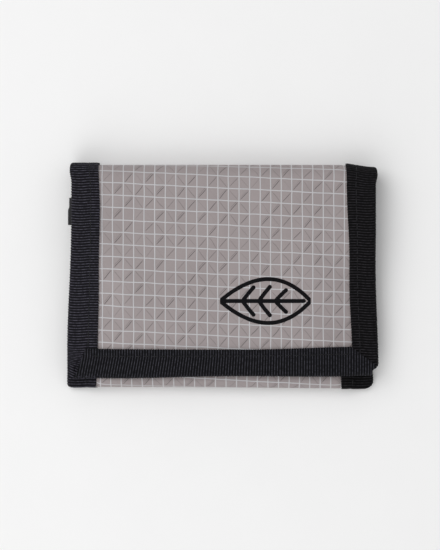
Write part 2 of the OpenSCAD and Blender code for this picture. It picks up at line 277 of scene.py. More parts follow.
def fold_radius(x):
    """Radius of the half round at the body's lower fold, half the body's height there."""
    return (arch(x, FRONT_Z, PINCH_Z) - TAPE_T) / 2


def fold_drop(x, y):
    """How much the half round takes off the height, above and below, near the lower fold."""
    r = fold_radius(x)
    past = np.clip(r - (y + HALF_H), 0.0, r)
    return r - np.sqrt(np.maximum(r * r - past * past, 0.0))


def outer_path(s, y0, radius, side):
    """Runs straight from y0 up to the spine, then a quarter circle of that radius to the middle
    of the spine. side is 1 on the flap and -1 on the back. Returns y, z and the outward normal."""
    run = SPINE_Y - y0
    turn = np.clip((s - run) / radius, 0.0, QUARTER)
    y = np.where(s < run, y0 + s, SPINE_Y + radius * np.sin(turn))
    z = SPINE_R + side * radius * np.cos(turn)
    return y, z, np.sin(turn), side * np.cos(turn)


def fold_floor():
    """Where the body's flat layers end, at the start of the lower fold."""
    return low("back_panel", Y)


def path_length(y0, radius):
    """Length of outer_path from y0 to the middle of the spine."""
    return SPINE_Y - y0 + radius * QUARTER


def lean_spine(p):
    """The spine is a little narrower towards its right end: y goes down there, near the spine."""
    s = settings()
    q = p.copy()
    q[..., 1] -= s.spine_lean * ramp(p[..., 0], 46, 16) * ramp(p[..., 1], 30, 15)
    return q


def settle_flap(p):
    """The flap's side edges hang lower than its middle, less so near the spine, its free edge
    dips, and slow shallow waves run through it."""
    s = settings()
    x, y = p[..., 0], p[..., 1]
    hold = 1.0 - ramp(y, -8, 27)
    sides = ramp(np.abs(x), 36, 26) * hold
    foot = ramp(-y, 30, 11)
    wave = (np.sin(x * 95.0 + y * 38.0) + np.sin(y * 120.0 - x * 31.0 + 1.3)) * hold
    q = lean_spine(p)
    q[..., 2] -= s.flap_droop * sides + s.flap_dip * foot - s.flap_wave * wave
    return q


def settle_body(p):
    """The body sits a little to the left at its lower fold, which runs down to the right, and its
    front has shallow waves."""
    s = settings()
    x, y, z = p[..., 0], p[..., 1], p[..., 2]
    q = lean_spine(p)
    q[..., 0] -= s.body_shift * ramp(-y, 15, 25)
    q[..., 1] -= s.body_tilt * ramp(x, -30, 85) * ramp(-y, 20, 20)
    above = ramp(z, 3, 4) * ease((SPINE_Y - 6 * MM - y) / (8 * MM))
    q[..., 2] += s.flap_wave * above * (np.sin(x * 110.0 + 0.4) * 0.6 + np.sin(x * 47.0 - y * 60.0) * 0.6
                                        - 0.8)
    return q


# ---- Settings ----

def size(name, description, default, least, most):
    """A length given in millimetres, which the sidebar shows in the scene's units."""
    return FloatProperty(name=name, description=description, default=default * MM,
                         min=least * MM, max=most * MM, unit="LENGTH", precision=5)


def rate(name, description, default, least, most):
    """A plain number, such as a slope."""
    return FloatProperty(name=name, description=description, default=default, min=least, max=most)


def tone(name, description, default):
    """A colour, as a linear tone."""
    return FloatVectorProperty(name=name, description=description, default=default, min=0.0, max=1.0,
                               size=3, subtype="COLOR")


class WALLET_PG_settings(bpy.types.PropertyGroup):
    """Sizes and colours of the wallet's cloth, tape, thread and print."""
    pinch_in: size("Pinch start",
        "Distance from the middle where the layers begin to close together", 46, 40, 52)
    pinch_out: size("Pinch end",
        "Distance from the middle where the layers lie on each other", 58, 53, 61)
    spine_lean: size("Spine lean", "How much lower the spine is at its right end", 1.8, 0.0, 3)
    flap_droop: size("Flap droop", "How far the flap's side edges hang", 3.0, 0.0, 4)
    flap_dip: size("Flap dip", "How far the flap's free edge dips", 0.5, 0.0, 1)
    flap_wave: size("Flap wave", "Height of the slow waves in the cloth", 0.12, 0.0, 0.3)
    body_shift: size("Body shift", "How far the body's lower fold lies to the left", 1.0, 0.0, 2)
    body_tilt: size("Body tilt", "How much lower the body's fold lies at its right end", 0.6, 0.0, 1.5)
    grid_across: size("Ripstop pitch across",
        "Distance between the heavy yarns that run up", 4.25, 2, 8)
    grid_along: size("Ripstop pitch along",
        "Distance between the heavy yarns that run across", 4.97, 2, 8)
    grid_slope: rate("Ripstop slope",
        "Fall of the crosswise yarns for each unit of width", 0.048, -0.2, 0.2)
    grid_yarn: size("Ripstop yarn", "Thickness of the heavy yarns", 0.22, 0.1, 0.6)
    grid_start_x: size("Ripstop start across", "Where the first yarn lies, across", 36.35, -60, 60)
    grid_start_y: size("Ripstop start along",
        "Where the first yarn lies, counted from the middle of the spine", -9.7, -60, 60)
    cell_swell: size("Cell swell",
        "How far each ripstop cell stands up between its yarns", 0.07, 0.0, 0.3)
    cloth_step: size("Cloth step", "Distance between the cloth's points", 0.7, 0.4, 3)
    flap_cloth_half: size("Flap cloth half width",
        "Half the width of the flap's cloth, inside its tapes", 58.5, 55, 60)
    rib_pitch: size("Rib pitch", "Distance between the tape's ribs", 1.08, 0.6, 2)
    rib_height: size("Rib height", "How far the tape's ribs stand up", 0.15, 0.0, 0.4)
    rib_slant: rate("Rib slant",
        "Lean of the lower tape's ribs below its stitching", 0.2, -1.0, 1.0)
    selvedge: size("Selvedge", "Waviness of the tape's edges", 0.07, 0.0, 0.3)
    tape_body: size("Tape body", "Thickness of the tape between its ribs", 0.62, 0.3, 0.8)
    left_reach: size("Left tape edge", "Inner edge of the flap's left tape", 50.1, 45, 55)
    left_waist: size("Left tape waist",
        "Outer edge of the flap's left tape, near the spine", 61.0, 58, 62)
    left_flare: size("Left tape flare",
        "How much further out it lies near the free edge", 1.9, 0.0, 2.5)
    right_reach: size("Right tape edge", "Inner edge of the flap's right tape", 49.8, 45, 55)
    right_waist: size("Right tape waist",
        "Outer edge of the flap's right tape, near the spine", 61.75, 58, 62)
    right_flare: size("Right tape flare",
        "How much further out it lies near the free edge", 1.4, 0.0, 2.5)
    right_tape_end: size("Right tape end",
        "Where the right tape ends under the lower one", -38.2, -41, -30)
    left_corner: size("Left corner", "Rounding of the body's lower left corner", 1.2, 0.2, 5)
    right_corner: size("Right corner", "Rounding of the body's lower right corner", 3.0, 0.2, 6)
    body_flare: size("Body flare", "How much wider the body is at the lower fold", 0.85, 0.0, 2)
    lower_flare: size("Lower tape flare",
        "How far the lower tape stands past the flap's edge", 0.5, 0.0, 1)
    corner_lean: rate("Corner lean",
        "Lean of the left tape's ribs at its lower corner", 0.4, -1.0, 1.0)
    corner_tuck: size("Corner tuck", "Depth of the tuck beside the lower tape's left end", 2.6, 0.0, 3)
    bottom_bow: size("Lower tape bow", "How far the lower tape's inner edge bows", 0.25, 0.0, 1)
    side_stitch: size("Side stitching",
        "Distance of the side stitching from the tape's inner edge", 4.0, 1, 8)
    bottom_stitch: size("Lower stitching",
        "Distance of the lower stitching from the tape's inner edge", 3.2, 1, 8)
    stitch_pitch: size("Stitch pitch", "Length of one stitch", 3.5, 2, 5)
    thread_radius: size("Thread radius", "Half the thickness of the sewing thread", 0.2, 0.1, 0.4)
    leaf_x: size("Leaf across", "Middle of the leaf print, across", 17.2, -40, 40)
    leaf_y: size("Leaf up", "Middle of the leaf print, up", -10.5, -25, 30)
    leaf_length: size("Leaf length", "Length of the leaf print", 36.6, 10, 60)
    leaf_height: size("Leaf height", "Height of the leaf print", 17.6, 5, 30)
    leaf_line: size("Leaf line", "Width of the leaf's lines", 1.65, 0.5, 3)
    fibre_count: IntProperty(name="Loop fibres", description="Number of fibres in the loop strip",
        default=3100, min=100, max=12000)
    cloth_colour: tone("Cloth", "Colour of the outer cloth", (0.310, 0.271, 0.272))
    yarn_colour: tone("Ripstop yarn", "Colour of the heavy yarns", (0.55, 0.55, 0.57))
    lining_colour: tone("Lining", "Colour of linings and pockets", (0.085, 0.083, 0.088))
    # The three tape tones below are one black tape, each set to how bright it looks where it lies: painted
    # light, lit on the left and shaded on the right.
    left_tape_colour: tone("Left tape", "Colour of the left edge tape", (0.0150, 0.0143, 0.0188))
    right_tape_colour: tone("Right tape", "Colour of the right edge tape", (0.0060, 0.0056, 0.0064))
    bottom_tape_colour: tone("Lower tape", "Colour of the lower edge tape", (0.0098, 0.0098, 0.0121))
    thread_colour: tone("Thread", "Colour of the sewing thread", (0.007, 0.007, 0.008))
    ink_colour: tone("Ink", "Colour of the leaf print", (0.003, 0.003, 0.004))
    metal_colour: tone("Metal", "Colour of the slider, puller and stops", (0.36, 0.36, 0.37))


def settings():
    return bpy.context.scene.wallet_settings


# ---- Materials ----

class Nodes:
    """Short hands for making and joining shader nodes in one tree."""

    def __init__(self, tree):
        self.tree = tree

    def new(self, kind, **values):
        node = self.tree.nodes.new(kind)
        for key, value in values.items():
            setattr(node, key, value)
        return node

    def put(self, socket, value):
        if isinstance(value, bpy.types.NodeSocket):
            self.tree.links.new(value, socket)
        else:
            socket.default_value = value

    def math(self, operation, a, b=0.0):
        node = self.new("ShaderNodeMath", operation=operation)
        for socket, value in zip(node.inputs, (a, b)):
            self.put(socket, value)
        return node.outputs[0]

    plus = partialmethod(math, "ADD")
    minus = partialmethod(math, "SUBTRACT")
    times = partialmethod(math, "MULTIPLY")
    ratio = partialmethod(math, "DIVIDE")
    floor = partialmethod(math, "FLOOR")
    size = partialmethod(math, "ABSOLUTE")

    def mix(self, factor, a, b):
        node = self.new("ShaderNodeMix", data_type="RGBA")
        self.put(node.inputs["Factor"], factor)
        self.put(node.inputs[6], a)
        self.put(node.inputs[7], b)
        return node.outputs[2]

    def span(self, value, a, b, c=0.0, d=1.0):
        """value from a to b becomes c to d, smoothly, and stays there outside."""
        node = self.new("ShaderNodeMapRange", interpolation_type="SMOOTHSTEP")
        for socket, number in zip(node.inputs, (value, a, b, c, d)):
            self.put(socket, number)
        return node.outputs[0]

    def noise(self, vector, scale, detail=3.0, roughness=0.55):
        node = self.new("ShaderNodeTexNoise")
        self.put(node.inputs["Vector"], vector)
        node.inputs["Scale"].default_value = scale
        node.inputs["Detail"].default_value = detail
        node.inputs["Roughness"].default_value = roughness
        return node.outputs["Fac"]

    def bump(self, height, strength, distance, normal=None):
        node = self.new("ShaderNodeBump")
        node.inputs["Strength"].default_value = strength
        node.inputs["Distance"].default_value = distance
        self.put(node.inputs["Height"], height)
        if normal is not None:
            self.put(node.inputs["Normal"], normal)
        return node.outputs[0]

    def group(self, tree, **values):
        node = self.new("ShaderNodeGroup", node_tree=tree)
        for key, value in values.items():
            self.put(node.inputs[key.replace("_", " ")], value)
        return node.outputs


def colour(tone, gain=1.0):
    """A tone as a shader colour, made brighter or darker by a gain."""
    return (*(c * gain for c in tuple(tone)[:3]), 1.0)


def new_group(name, inputs, outputs):
    """An empty node group with its sockets. inputs and outputs give (name, socket, default)."""
    tree = bpy.data.node_groups.new(name, "ShaderNodeTree")
    for way, sockets in (("INPUT", inputs), ("OUTPUT", outputs)):
        for title, kind, default in sockets:
            socket = tree.interface.new_socket(name=title, in_out=way, socket_type=kind)
            if default is not None:
                socket.default_value = default
    nodes = Nodes(tree)
    return tree, nodes, nodes.new("NodeGroupInput").outputs, nodes.new("NodeGroupOutput").inputs


FLOAT, VECTOR = "NodeSocketFloat", "NodeSocketVector"


def weave_group():
    """Plain weave: warp and weft threads are half rounds that take turns on top. Height is 0 in
    the gaps and 1 on the crowns. Shade drifts slowly from thread to thread."""
    if "yarn_weave" in bpy.data.node_groups:
        return bpy.data.node_groups["yarn_weave"]
    tree, n, given, result = new_group(
        "yarn_weave", [("Vector", VECTOR, None), ("Warp", FLOAT, 0.0004), ("Weft", FLOAT, 0.0004)],
        [("Height", FLOAT, None), ("Shade", FLOAT, None)])
    parts = n.new("ShaderNodeSeparateXYZ")
    n.put(parts.inputs[0], given["Vector"])
    u = n.ratio(parts.outputs[0], given["Warp"])
    v = n.ratio(parts.outputs[1], given["Weft"])
    crown_u = n.size(n.math("SINE", n.times(u, math.pi)))
    crown_v = n.size(n.math("SINE", n.times(v, math.pi)))
    turn = n.math("MODULO", n.plus(n.floor(u), n.floor(v)), 2.0)
    over = n.size(turn)
    warp = n.times(crown_u, n.plus(0.45, n.times(over, 0.55)))
    weft = n.times(crown_v, n.minus(1.0, n.times(over, 0.55)))
    n.put(result["Height"], n.math("MAXIMUM", warp, weft))
    stretch = n.new("ShaderNodeCombineXYZ")
    n.put(stretch.inputs[0], n.times(u, 0.09))
    n.put(stretch.inputs[1], n.times(v, 0.55))
    n.put(result["Shade"], n.noise(stretch.outputs[0], 2.2, 2.0))
    return tree


def wear_group():
    """Handling marks: Lint is sparse pale specks, Drift a slow change of tone."""
    if "handling_wear" in bpy.data.node_groups:
        return bpy.data.node_groups["handling_wear"]
    tree, n, given, result = new_group(
        "handling_wear", [("Vector", VECTOR, None), ("Amount", FLOAT, 0.5)],
        [("Lint", FLOAT, None), ("Drift", FLOAT, None)])
    specks = n.span(n.noise(given["Vector"], 1500.0, 2.0, 0.7), 0.66, 0.78)
    n.put(result["Lint"], n.times(specks, given["Amount"]))
    n.put(result["Drift"], n.noise(given["Vector"], 60.0, 4.0))
    return tree


def ripstop_group():
    """Ripstop grid in cloth coordinates. Every cell is one repeat of the heavy yarns; Line is 1 on
    them. The crease output is 1 on the pressed diagonal that runs up to the right in every second
    cell, and the faint one on the weaker diagonal that runs down to the right in the others; the
    material paints shade along both."""
    if "ripstop_grid" in bpy.data.node_groups:
        return bpy.data.node_groups["ripstop_grid"]
    tree, n, given, result = new_group(
        "ripstop_grid",
        [("Vector", VECTOR, None), ("Across", FLOAT, 0.00425), ("Along", FLOAT, 0.00495),
         ("Slope", FLOAT, 0.035), ("Yarn", FLOAT, 0.00028)],
        [("Line", FLOAT, None), ("ShadedCrease", FLOAT, None), ("FaintShadedFold", FLOAT, None)])
    parts = n.new("ShaderNodeSeparateXYZ")
    n.put(parts.inputs[0], given["Vector"])
    x, y = parts.outputs[0], parts.outputs[1]
    y = n.plus(y, n.times(x, given["Slope"]))
    wander = n.minus(n.noise(given["Vector"], 70.0, 2.0), 0.5)
    u = n.ratio(n.plus(x, n.times(wander, 0.0006)), given["Across"])
    v = n.ratio(n.plus(y, n.times(wander, 0.0007)), given["Along"])
    fu = n.minus(u, n.floor(u))
    fv = n.minus(v, n.floor(v))

    def line(fraction, size):
        near = n.minus(0.5, n.size(n.minus(fraction, 0.5)))
        reach = n.times(near, size)
        return n.span(reach, n.times(given["Yarn"], 0.55), n.times(given["Yarn"], 1.35), 1.0, 0.0)

    n.put(result["Line"], n.math("MAXIMUM", line(fu, given["Across"]), line(fv, given["Along"])))
    even = n.size(n.math("MODULO", n.plus(n.floor(u), n.floor(v)), 2.0))
    cell = n.new("ShaderNodeCombineXYZ")
    n.put(cell.inputs[0], n.floor(u))
    n.put(cell.inputs[1], n.floor(v))
    luck = n.new("ShaderNodeTexWhiteNoise", noise_dimensions="2D")
    n.put(luck.inputs["Vector"], cell.outputs[0])
    chance = luck.outputs["Value"]
    bend = n.times(wander, 0.5)
    inside = n.times(n.span(fu, 0.06, 0.3), n.span(fu, 0.96, 0.72))

    def diagonal(distance, width):
        return n.times(n.span(n.size(n.plus(distance, bend)), 0.0, width, 1.0, 0.0), inside)

    up = diagonal(n.minus(fu, fv), 0.06)
    up_twin = diagonal(n.plus(n.minus(fu, fv), 0.18), 0.05)
    down = diagonal(n.minus(n.plus(fu, fv), 1.0), 0.06)
    up = n.plus(up, n.times(up_twin, n.span(chance, 0.5, 0.8, 0.0, 0.5)))
    n.put(result["ShadedCrease"], n.times(n.times(up, even), n.span(chance, 0.0, 0.7, 0.35, 1.0)))
    odd = n.minus(1.0, even)
    n.put(result["FaintShadedFold"], n.times(n.times(down, odd), n.span(chance, 0.05, 0.7)))
    return tree


def start_material(name, roughness, specular=0.5, sheen=0.0):
    """A material with its Principled shader. Uniform numbers go on the shader's own sockets."""
    material = bpy.data.materials.new(name)
    material.use_nodes = True
    material.node_tree.nodes.clear()
    n = Nodes(material.node_tree)
    shader = n.new("ShaderNodeBsdfPrincipled")
    output = n.new("ShaderNodeOutputMaterial")
    n.tree.links.new(shader.outputs[0], output.inputs["Surface"])
    shader.inputs["Roughness"].default_value = roughness
    shader.inputs["Specular IOR Level"].default_value = specular
    shader.inputs["Sheen Weight"].default_value = sheen
    shader.inputs["Sheen Roughness"].default_value = 0.45
    return material, n, shader


def once(make):
    """Makes a material when its name is first asked for, and finds it again after that."""
    @wraps(make)
    def find(name, *given, **named):
        return bpy.data.materials.get(name) or make(name, *given, **named)
    return find


def cloth_coordinates(n):
    return n.new("ShaderNodeUVMap", uv_map="cloth").outputs[0]


def ripstop_material():
    """Laminated ripstop: film over a fine weave, pale heavy yarns, and pressed creases darkened with
    painted shade.
    """
    s = settings()
    material, n, shader = start_material("ripstop_cloth", 0.5, 0.42)
    uv = cloth_coordinates(n)
    grid = n.group(ripstop_group(), Vector=uv, Across=s.grid_across, Along=s.grid_along,
                   Slope=s.grid_slope, Yarn=s.grid_yarn)
    weave = n.group(weave_group(), Vector=uv, Warp=0.00030, Weft=0.00034)
    wear = n.group(wear_group(), Vector=uv, Amount=0.3)
    ground = n.mix(n.span(wear["Drift"], 0.3, 0.7), colour(s.cloth_colour), colour(s.cloth_colour, 0.93))
    ground = n.mix(n.times(n.span(weave["Shade"], 0.35, 0.7), 0.16), ground, colour(s.cloth_colour, 0.78))
    # Painted shade: the colour darkens along the weaker diagonal creases and, more, along the pressed ones.
    ground = n.mix(n.times(grid["FaintShadedFold"], 0.65), ground, colour(s.cloth_colour, 0.45))
    ground = n.mix(n.times(grid["ShadedCrease"], 1.0), ground, colour(s.cloth_colour, 0.3))
    n.put(shader.inputs["Base Color"], n.mix(n.times(grid["Line"], 0.85), ground, colour(s.yarn_colour)))
    rough = n.plus(0.47, n.times(wear["Drift"], 0.12))
    n.put(shader.inputs["Roughness"], n.minus(rough, n.times(grid["Line"], 0.08)))
    folds = n.plus(grid["ShadedCrease"], n.times(grid["FaintShadedFold"], 0.6))
    height = n.minus(n.times(grid["Line"], 0.8), folds)
    fine = n.bump(weave["Height"], 0.22, 0.00006)
    n.put(shader.inputs["Normal"], n.bump(height, 0.7, 0.00022, fine))
    return material


@once
def tape_material(name, tone):
    """Woven binding tape: each rib is a bundle of threads lying across it, with painted shade in the
    valleys and a painted highlight on each crown.
    The cloth map runs along the tape in its first value and across it in its second."""
    s = settings()
    material, n, shader = start_material(name, 0.62, 0.05)
    uv = cloth_coordinates(n)
    parts = n.new("ShaderNodeSeparateXYZ")
    n.put(parts.inputs[0], uv)
    along = n.ratio(parts.outputs[0], s.rib_pitch)
    valley = n.size(n.minus(n.times(n.minus(along, n.floor(along)), 2.0), 1.0))
    weave = n.group(weave_group(), Vector=uv, Warp=s.rib_pitch * 0.5, Weft=0.00032)
    wear = n.group(wear_group(), Vector=uv, Amount=0.35)
    base = n.mix(n.span(weave["Shade"], 0.3, 0.72), colour(tone, 0.4), colour(tone, 0.8))
    # Painted shade: the colour darkens in the valleys between the ribs.
    base = n.mix(n.times(n.span(valley, 0.35, 0.85), 0.5), base, colour(tone, 0.15))
    stretch = n.new("ShaderNodeCombineXYZ")
    n.put(stretch.inputs[0], n.floor(along))
    n.put(stretch.inputs[1], n.times(parts.outputs[1], 600.0))
    # Painted highlight: each rib's crown is made many times lighter, in glints that come and go along it.
    glint = n.span(n.noise(stretch.outputs[0], 1.0, 2.0, 0.7), 0.38, 0.62)
    crown_highlight = n.times(n.span(valley, 0.0, 0.4, 1.0, 0.0), n.plus(0.3, n.times(glint, 0.65)))
    base = n.mix(crown_highlight, base, colour(tone, 6.5))
    base = n.mix(n.times(wear["Lint"], 0.5), base, (0.12, 0.12, 0.13, 1.0))
    n.put(shader.inputs["Base Color"], base)
    n.put(shader.inputs["Roughness"], n.plus(0.5, n.times(wear["Drift"], 0.2)))
    n.put(shader.inputs["Normal"], n.bump(weave["Height"], 0.5, 0.00009))
    return material


@once
def weave_material(name, tone, yarn, strength=0.35, sheen=0.1):
    """Plain woven nylon, for linings, pockets, webbing and zip tape."""
    material, n, shader = start_material(name, 0.6, 0.25, sheen)
    uv = cloth_coordinates(n)
    weave = n.group(weave_group(), Vector=uv, Warp=yarn, Weft=yarn * 1.1)
    wear = n.group(wear_group(), Vector=uv, Amount=0.25)
    # Painted shade: the colour darkens towards the gaps between the threads, where the weave is lowest.
    base = n.mix(n.span(weave["Height"], 0.1, 0.9), colour(tone, 0.7), colour(tone))
    base = n.mix(n.times(n.span(wear["Drift"], 0.4, 0.75), 0.3), base, colour(tone, 0.75))
    base = n.mix(n.times(wear["Lint"], 0.4), base, (0.25, 0.25, 0.25, 1.0))
    n.put(shader.inputs["Base Color"], base)
    n.put(shader.inputs["Normal"], n.bump(weave["Height"], strength, yarn * 0.3))
    return material


@once
def fibre_material(name, tone):
    """Thread and fibre: a tone that changes a little along every strand."""
    material, n, shader = start_material(name, 0.5, 0.2)
    place = n.new("ShaderNodeTexCoord").outputs["Object"]
    mottle = n.noise(place, 900.0, 3.0)
    n.put(shader.inputs["Base Color"], n.mix(n.span(mottle, 0.3, 0.7), colour(tone), colour(tone, 2.1)))
    n.put(shader.inputs["Normal"], n.bump(n.noise(place, 5000.0, 1.0), 0.3, 0.00004))
    return material


@once
def cast_material(name, tone, metallic, roughness):
    """Cast metal or moulded plastic: fine grain, faint streaks and brighter rubbed patches."""
    material, n, shader = start_material(name, roughness, 0.5)
    shader.inputs["Metallic"].default_value = metallic
    place = n.new("ShaderNodeTexCoord").outputs["Object"]
    rub = n.noise(place, 380.0, 4.0)
    n.put(shader.inputs["Base Color"],
          n.mix(n.span(rub, 0.35, 0.7), colour(tone), colour([min(1.0, c * 1.25) for c in tone])))
    n.put(shader.inputs["Roughness"], n.plus(roughness - 0.08, n.times(rub, 0.2)))
    n.put(shader.inputs["Normal"], n.bump(n.noise(place, 4200.0, 2.0), 0.25, 0.00003))
    return material


def print_material():
    """Screen-printed ink: nearly black, slightly glossy, with the weave just showing through."""
    material, n, shader = start_material("printed_ink", 0.55, 0.06)
    place = n.new("ShaderNodeTexCoord").outputs["Object"]
    thin = n.noise(place, 1600.0, 3.0)
    n.put(shader.inputs["Base Color"],
          n.mix(n.span(thin, 0.45, 0.75), colour(settings().ink_colour), (0.008, 0.008, 0.009, 1.0)))
    n.put(shader.inputs["Roughness"], n.plus(0.42, n.times(thin, 0.2)))
    n.put(shader.inputs["Normal"], n.bump(thin, 0.2, 0.00004))
    return material


def dress(piece, material):
    piece.data.materials.clear()
    piece.data.materials.append(material)
    return piece


def finish_piece(piece, material, slot, body=None, bend=None, nodes=()):
    """Gives a piece its material, hides the CAD nodes it stands for and parents it to its body.
    slot is not used. bend is (first body, second body, start, end) for a piece that crosses a fold;
    such a piece only has its place baked into its points."""
    dress(piece, material)
    if nodes:
        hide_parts(*nodes)
    if bend:
        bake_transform(piece)
    else:
        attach(piece, body)
    return piece


# ---- Tape, thread and cloth surfaces ----

def fold_section(edge, reach_out, reach_in, face, back, counts=(15, 9, 10)):
    """Tape folded round an edge, seen end on. It runs along the outer face from reach_out to the
    edge, round half a circle, and back along the inner face to reach_in. face and back give each
    leg's depth at a distance from the middle. Returns the distance, the depth and the length
    across the tape."""
    radius = (back(edge) - face(edge)) / 2
    bend = edge - radius
    out = reach_out + (bend - reach_out) * np.linspace(0, 1, counts[0])[None, :-1]
    turn = np.linspace(-QUARTER, QUARTER, counts[1])[None, :]
    inn = bend + (reach_in - bend) * np.linspace(0, 1, counts[2])[None, 1:]
    distance = np.concatenate([out, bend + radius * np.cos(turn), inn], axis=1)
    middle = (back(edge) + face(edge)) / 2
    depth = np.concatenate([face(out), middle + radius * np.sin(turn), back(inn)], axis=1)
    step = np.hypot(np.diff(distance, axis=1), np.diff(depth, axis=1))
    across = np.concatenate([np.zeros((len(step), 1)), np.cumsum(step, axis=1)], axis=1)
    return distance, depth, across


def sag(along, across, stitch):
    """The ribs hang a little between the stitching and the fold, on both faces of the tape."""
    inside = np.minimum(across, across[:, -1:] - across) - stitch
    span = across[:, -1:] / 2 - stitch
    return along + 0.28 * MM * np.sin(math.pi * np.clip(inside / span, 0.0, 1.0))


def scallop(along):
    """How a tape's edge goes out and in with every rib."""
    s = settings()
    return s.selvedge * np.sin(along / s.rib_pitch * 2 * math.pi)


def ribs(along, across, stitch):
    """Relief of ribbed tape: a rounded rib every pitch, wandering a little, thinner at both
    edges, and pulled in along the stitching."""
    s = settings()
    width = across[:, -1:]
    wander = 0.05 * np.sin(across * 900.0
                           + along * 60.0) + 0.07 * np.sin(along * 410.0) * np.sin(across * 500.0)
    turn = along / s.rib_pitch + wander
    rib = 1.0 - np.abs(2.0 * (turn - np.floor(turn)) - 1.0) ** 2.4
    edge = ease(np.minimum(across, width - across) / (0.5 * MM))
    uneven = 0.85 + 0.15 * np.sin(along * 2300.0 + 3.0 * np.sin(along * 170.0))
    groove = hill((across - stitch) / (0.9 * MM)) + hill((width - across - stitch) / (0.9 * MM))
    return s.rib_height * (rib * edge * uneven - 0.75 * groove)


def stitches(shape, path, normal, pitch, radius):
    """A row of lock stitches along a path. Each is a round thread that bows out of the tape at
    its middle and dives in at both ends."""
    step = np.linalg.norm(np.diff(path, axis=0), axis=1)
    length = np.concatenate([[0.0], np.cumsum(step)])
    count = max(1, int(length[-1] / pitch))
    share = np.array([0.0, 0.06, 0.22, 0.5, 0.78, 0.94, 1.0])
    place = (np.arange(count)[:, None] + 0.5 + (share[None] - 0.5) * 0.8) * (length[-1] / count)
    centre = np.stack([np.interp(place, length, path[:, k]) for k in range(3)], axis=2)
    up = np.stack([np.interp(place, length, normal[:, k]) for k in range(3)], axis=2)
    up /= np.linalg.norm(up, axis=2, keepdims=True)
    ahead = np.gradient(centre, axis=1)
    ahead /= np.linalg.norm(ahead, axis=2, keepdims=True)
    side = np.cross(ahead, up)
    bow = np.sin(math.pi * share)[None, :, None]
    centre = centre + up * (bow * radius * 1.3 - radius * (1.0 - STITCH_LIFT))
    size = radius * np.broadcast_to(np.array([0.0, 0.75, 1.0, 1.05, 1.0, 0.75, 0.0]), place.shape)
    return shape.tubes(centre, size, side, up)


def body_edge(y, right):
    """Half the body's width: wider at the lower fold, and rounded off at the corner."""
    s = settings()
    corner = s.right_corner if right else s.left_corner
    past = np.clip((corner - HALF_H - y) / corner, 0.0, 1.0)
    flare = s.body_flare * ramp(-y, 34, 8)
    return BODY_HALF + flare - corner * (1.0 - np.sqrt(1.0 - past * past))


def flap_edge(y, right):
    """Half the flap's width on one side: wider towards its free edge and at the spine."""
    s = settings()
    waist, flare, start = (s.right_waist, s.right_flare, 10 * MM) if right else (s.left_waist, s.left_flare,
                                                                                 25 * MM)
    return waist + flare * ease((start - y) / (55 * MM)) + 0.7 * MM * ramp(y, 37, 6)


def flap_depth(y):
    """How thick the flap's bound edge is: thick over the card slots, thin above them."""
    thin = TOTAL_T - LINING_Z + TAPE_T
    thick = TOTAL_T - HOOK_Z
    return thin + (thick - thin) * ease((SLOT_MOUTHS[0] + 4 * MM - y) / (8 * MM))


def on_path(distance, depth, path, sign):
    """Puts a folded section at each row of a path: across along X, depth against the normal."""
    y, z, ny, nz = path
    return lay(sign * distance, y - ny * depth, z - nz * depth)


def side_tape_rows(y0):
    s = settings()
    length = path_length(y0, SPINE_R)
    return spread(0.0, length, int(length / s.rib_pitch * RIB_POINTS))


def corner_tuck(points):
    """A bell across the lower tape's slanting left end, and a bump of height 1 along it."""
    x, y, z = points[..., 0], points[..., 1], points[..., 2]
    end = np.interp(-y, *LEFT_END)
    along = ramp(-y, 33, 3) * (1.0 - ramp(-y, 38.2, 1.2))
    return hill((x - end + 0.5 * MM) / (1.3 * MM)) * along * (z > TOTAL_T / 2 + HOOK_Z / 2)


def flap_side_tape(right):
    """Edge tape along the flap's side and round its half of the spine."""
    s = settings()
    y0 = s.right_tape_end if right else FLAP_Y - 0.2 * MM
    along = side_tape_rows(y0)
    path = outer_path(along, y0, SPINE_R, 1)
    y = path[0]
    top = (45 * MM - y) / (71 * MM)
    reach = (s.right_reach + 2.3 * MM * top) if right else (s.left_reach - 0.4 * MM * np.sin(top * 5.0))
    reach = reach + scallop(along) + 0.15 * MM * np.sin(along * 160.0)
    edge = flap_edge(y, right) + scallop(along)
    if right:
        over = np.clip((y0 + 2.6 * MM - y) / (2.6 * MM), 0.0, 1.0)
        edge = edge - 2.6 * MM * (1.0 - np.sqrt(1.0 - 0.98 * over * over))
    back = flap_depth(y)
    distance, depth, across = fold_section(edge, reach, 51 * MM + 0 * y, lambda x: 0 * x,
                                           lambda x: back + 0 * x)
    points = on_path(distance, depth, path, 1 if right else -1)
    along = sag(along, across, s.side_stitch)
    if not right:
        # The ribs turn down towards the corner, and the tape is tucked in beside the lower one
        along = along - s.corner_lean * across * ramp(-y, 29, 8)
    relief = ribs(along, across, s.side_stitch)
    if not right:
        relief = relief - s.corner_tuck * corner_tuck(points)
    points = settle_flap(points)
    uv = lay(along, across)
    shape = Shape().sheet(points, s.tape_body, uv, relief, flip=right)
    return shape, points, (float(across[:, -1].mean()), path_length(y0, SPINE_R))


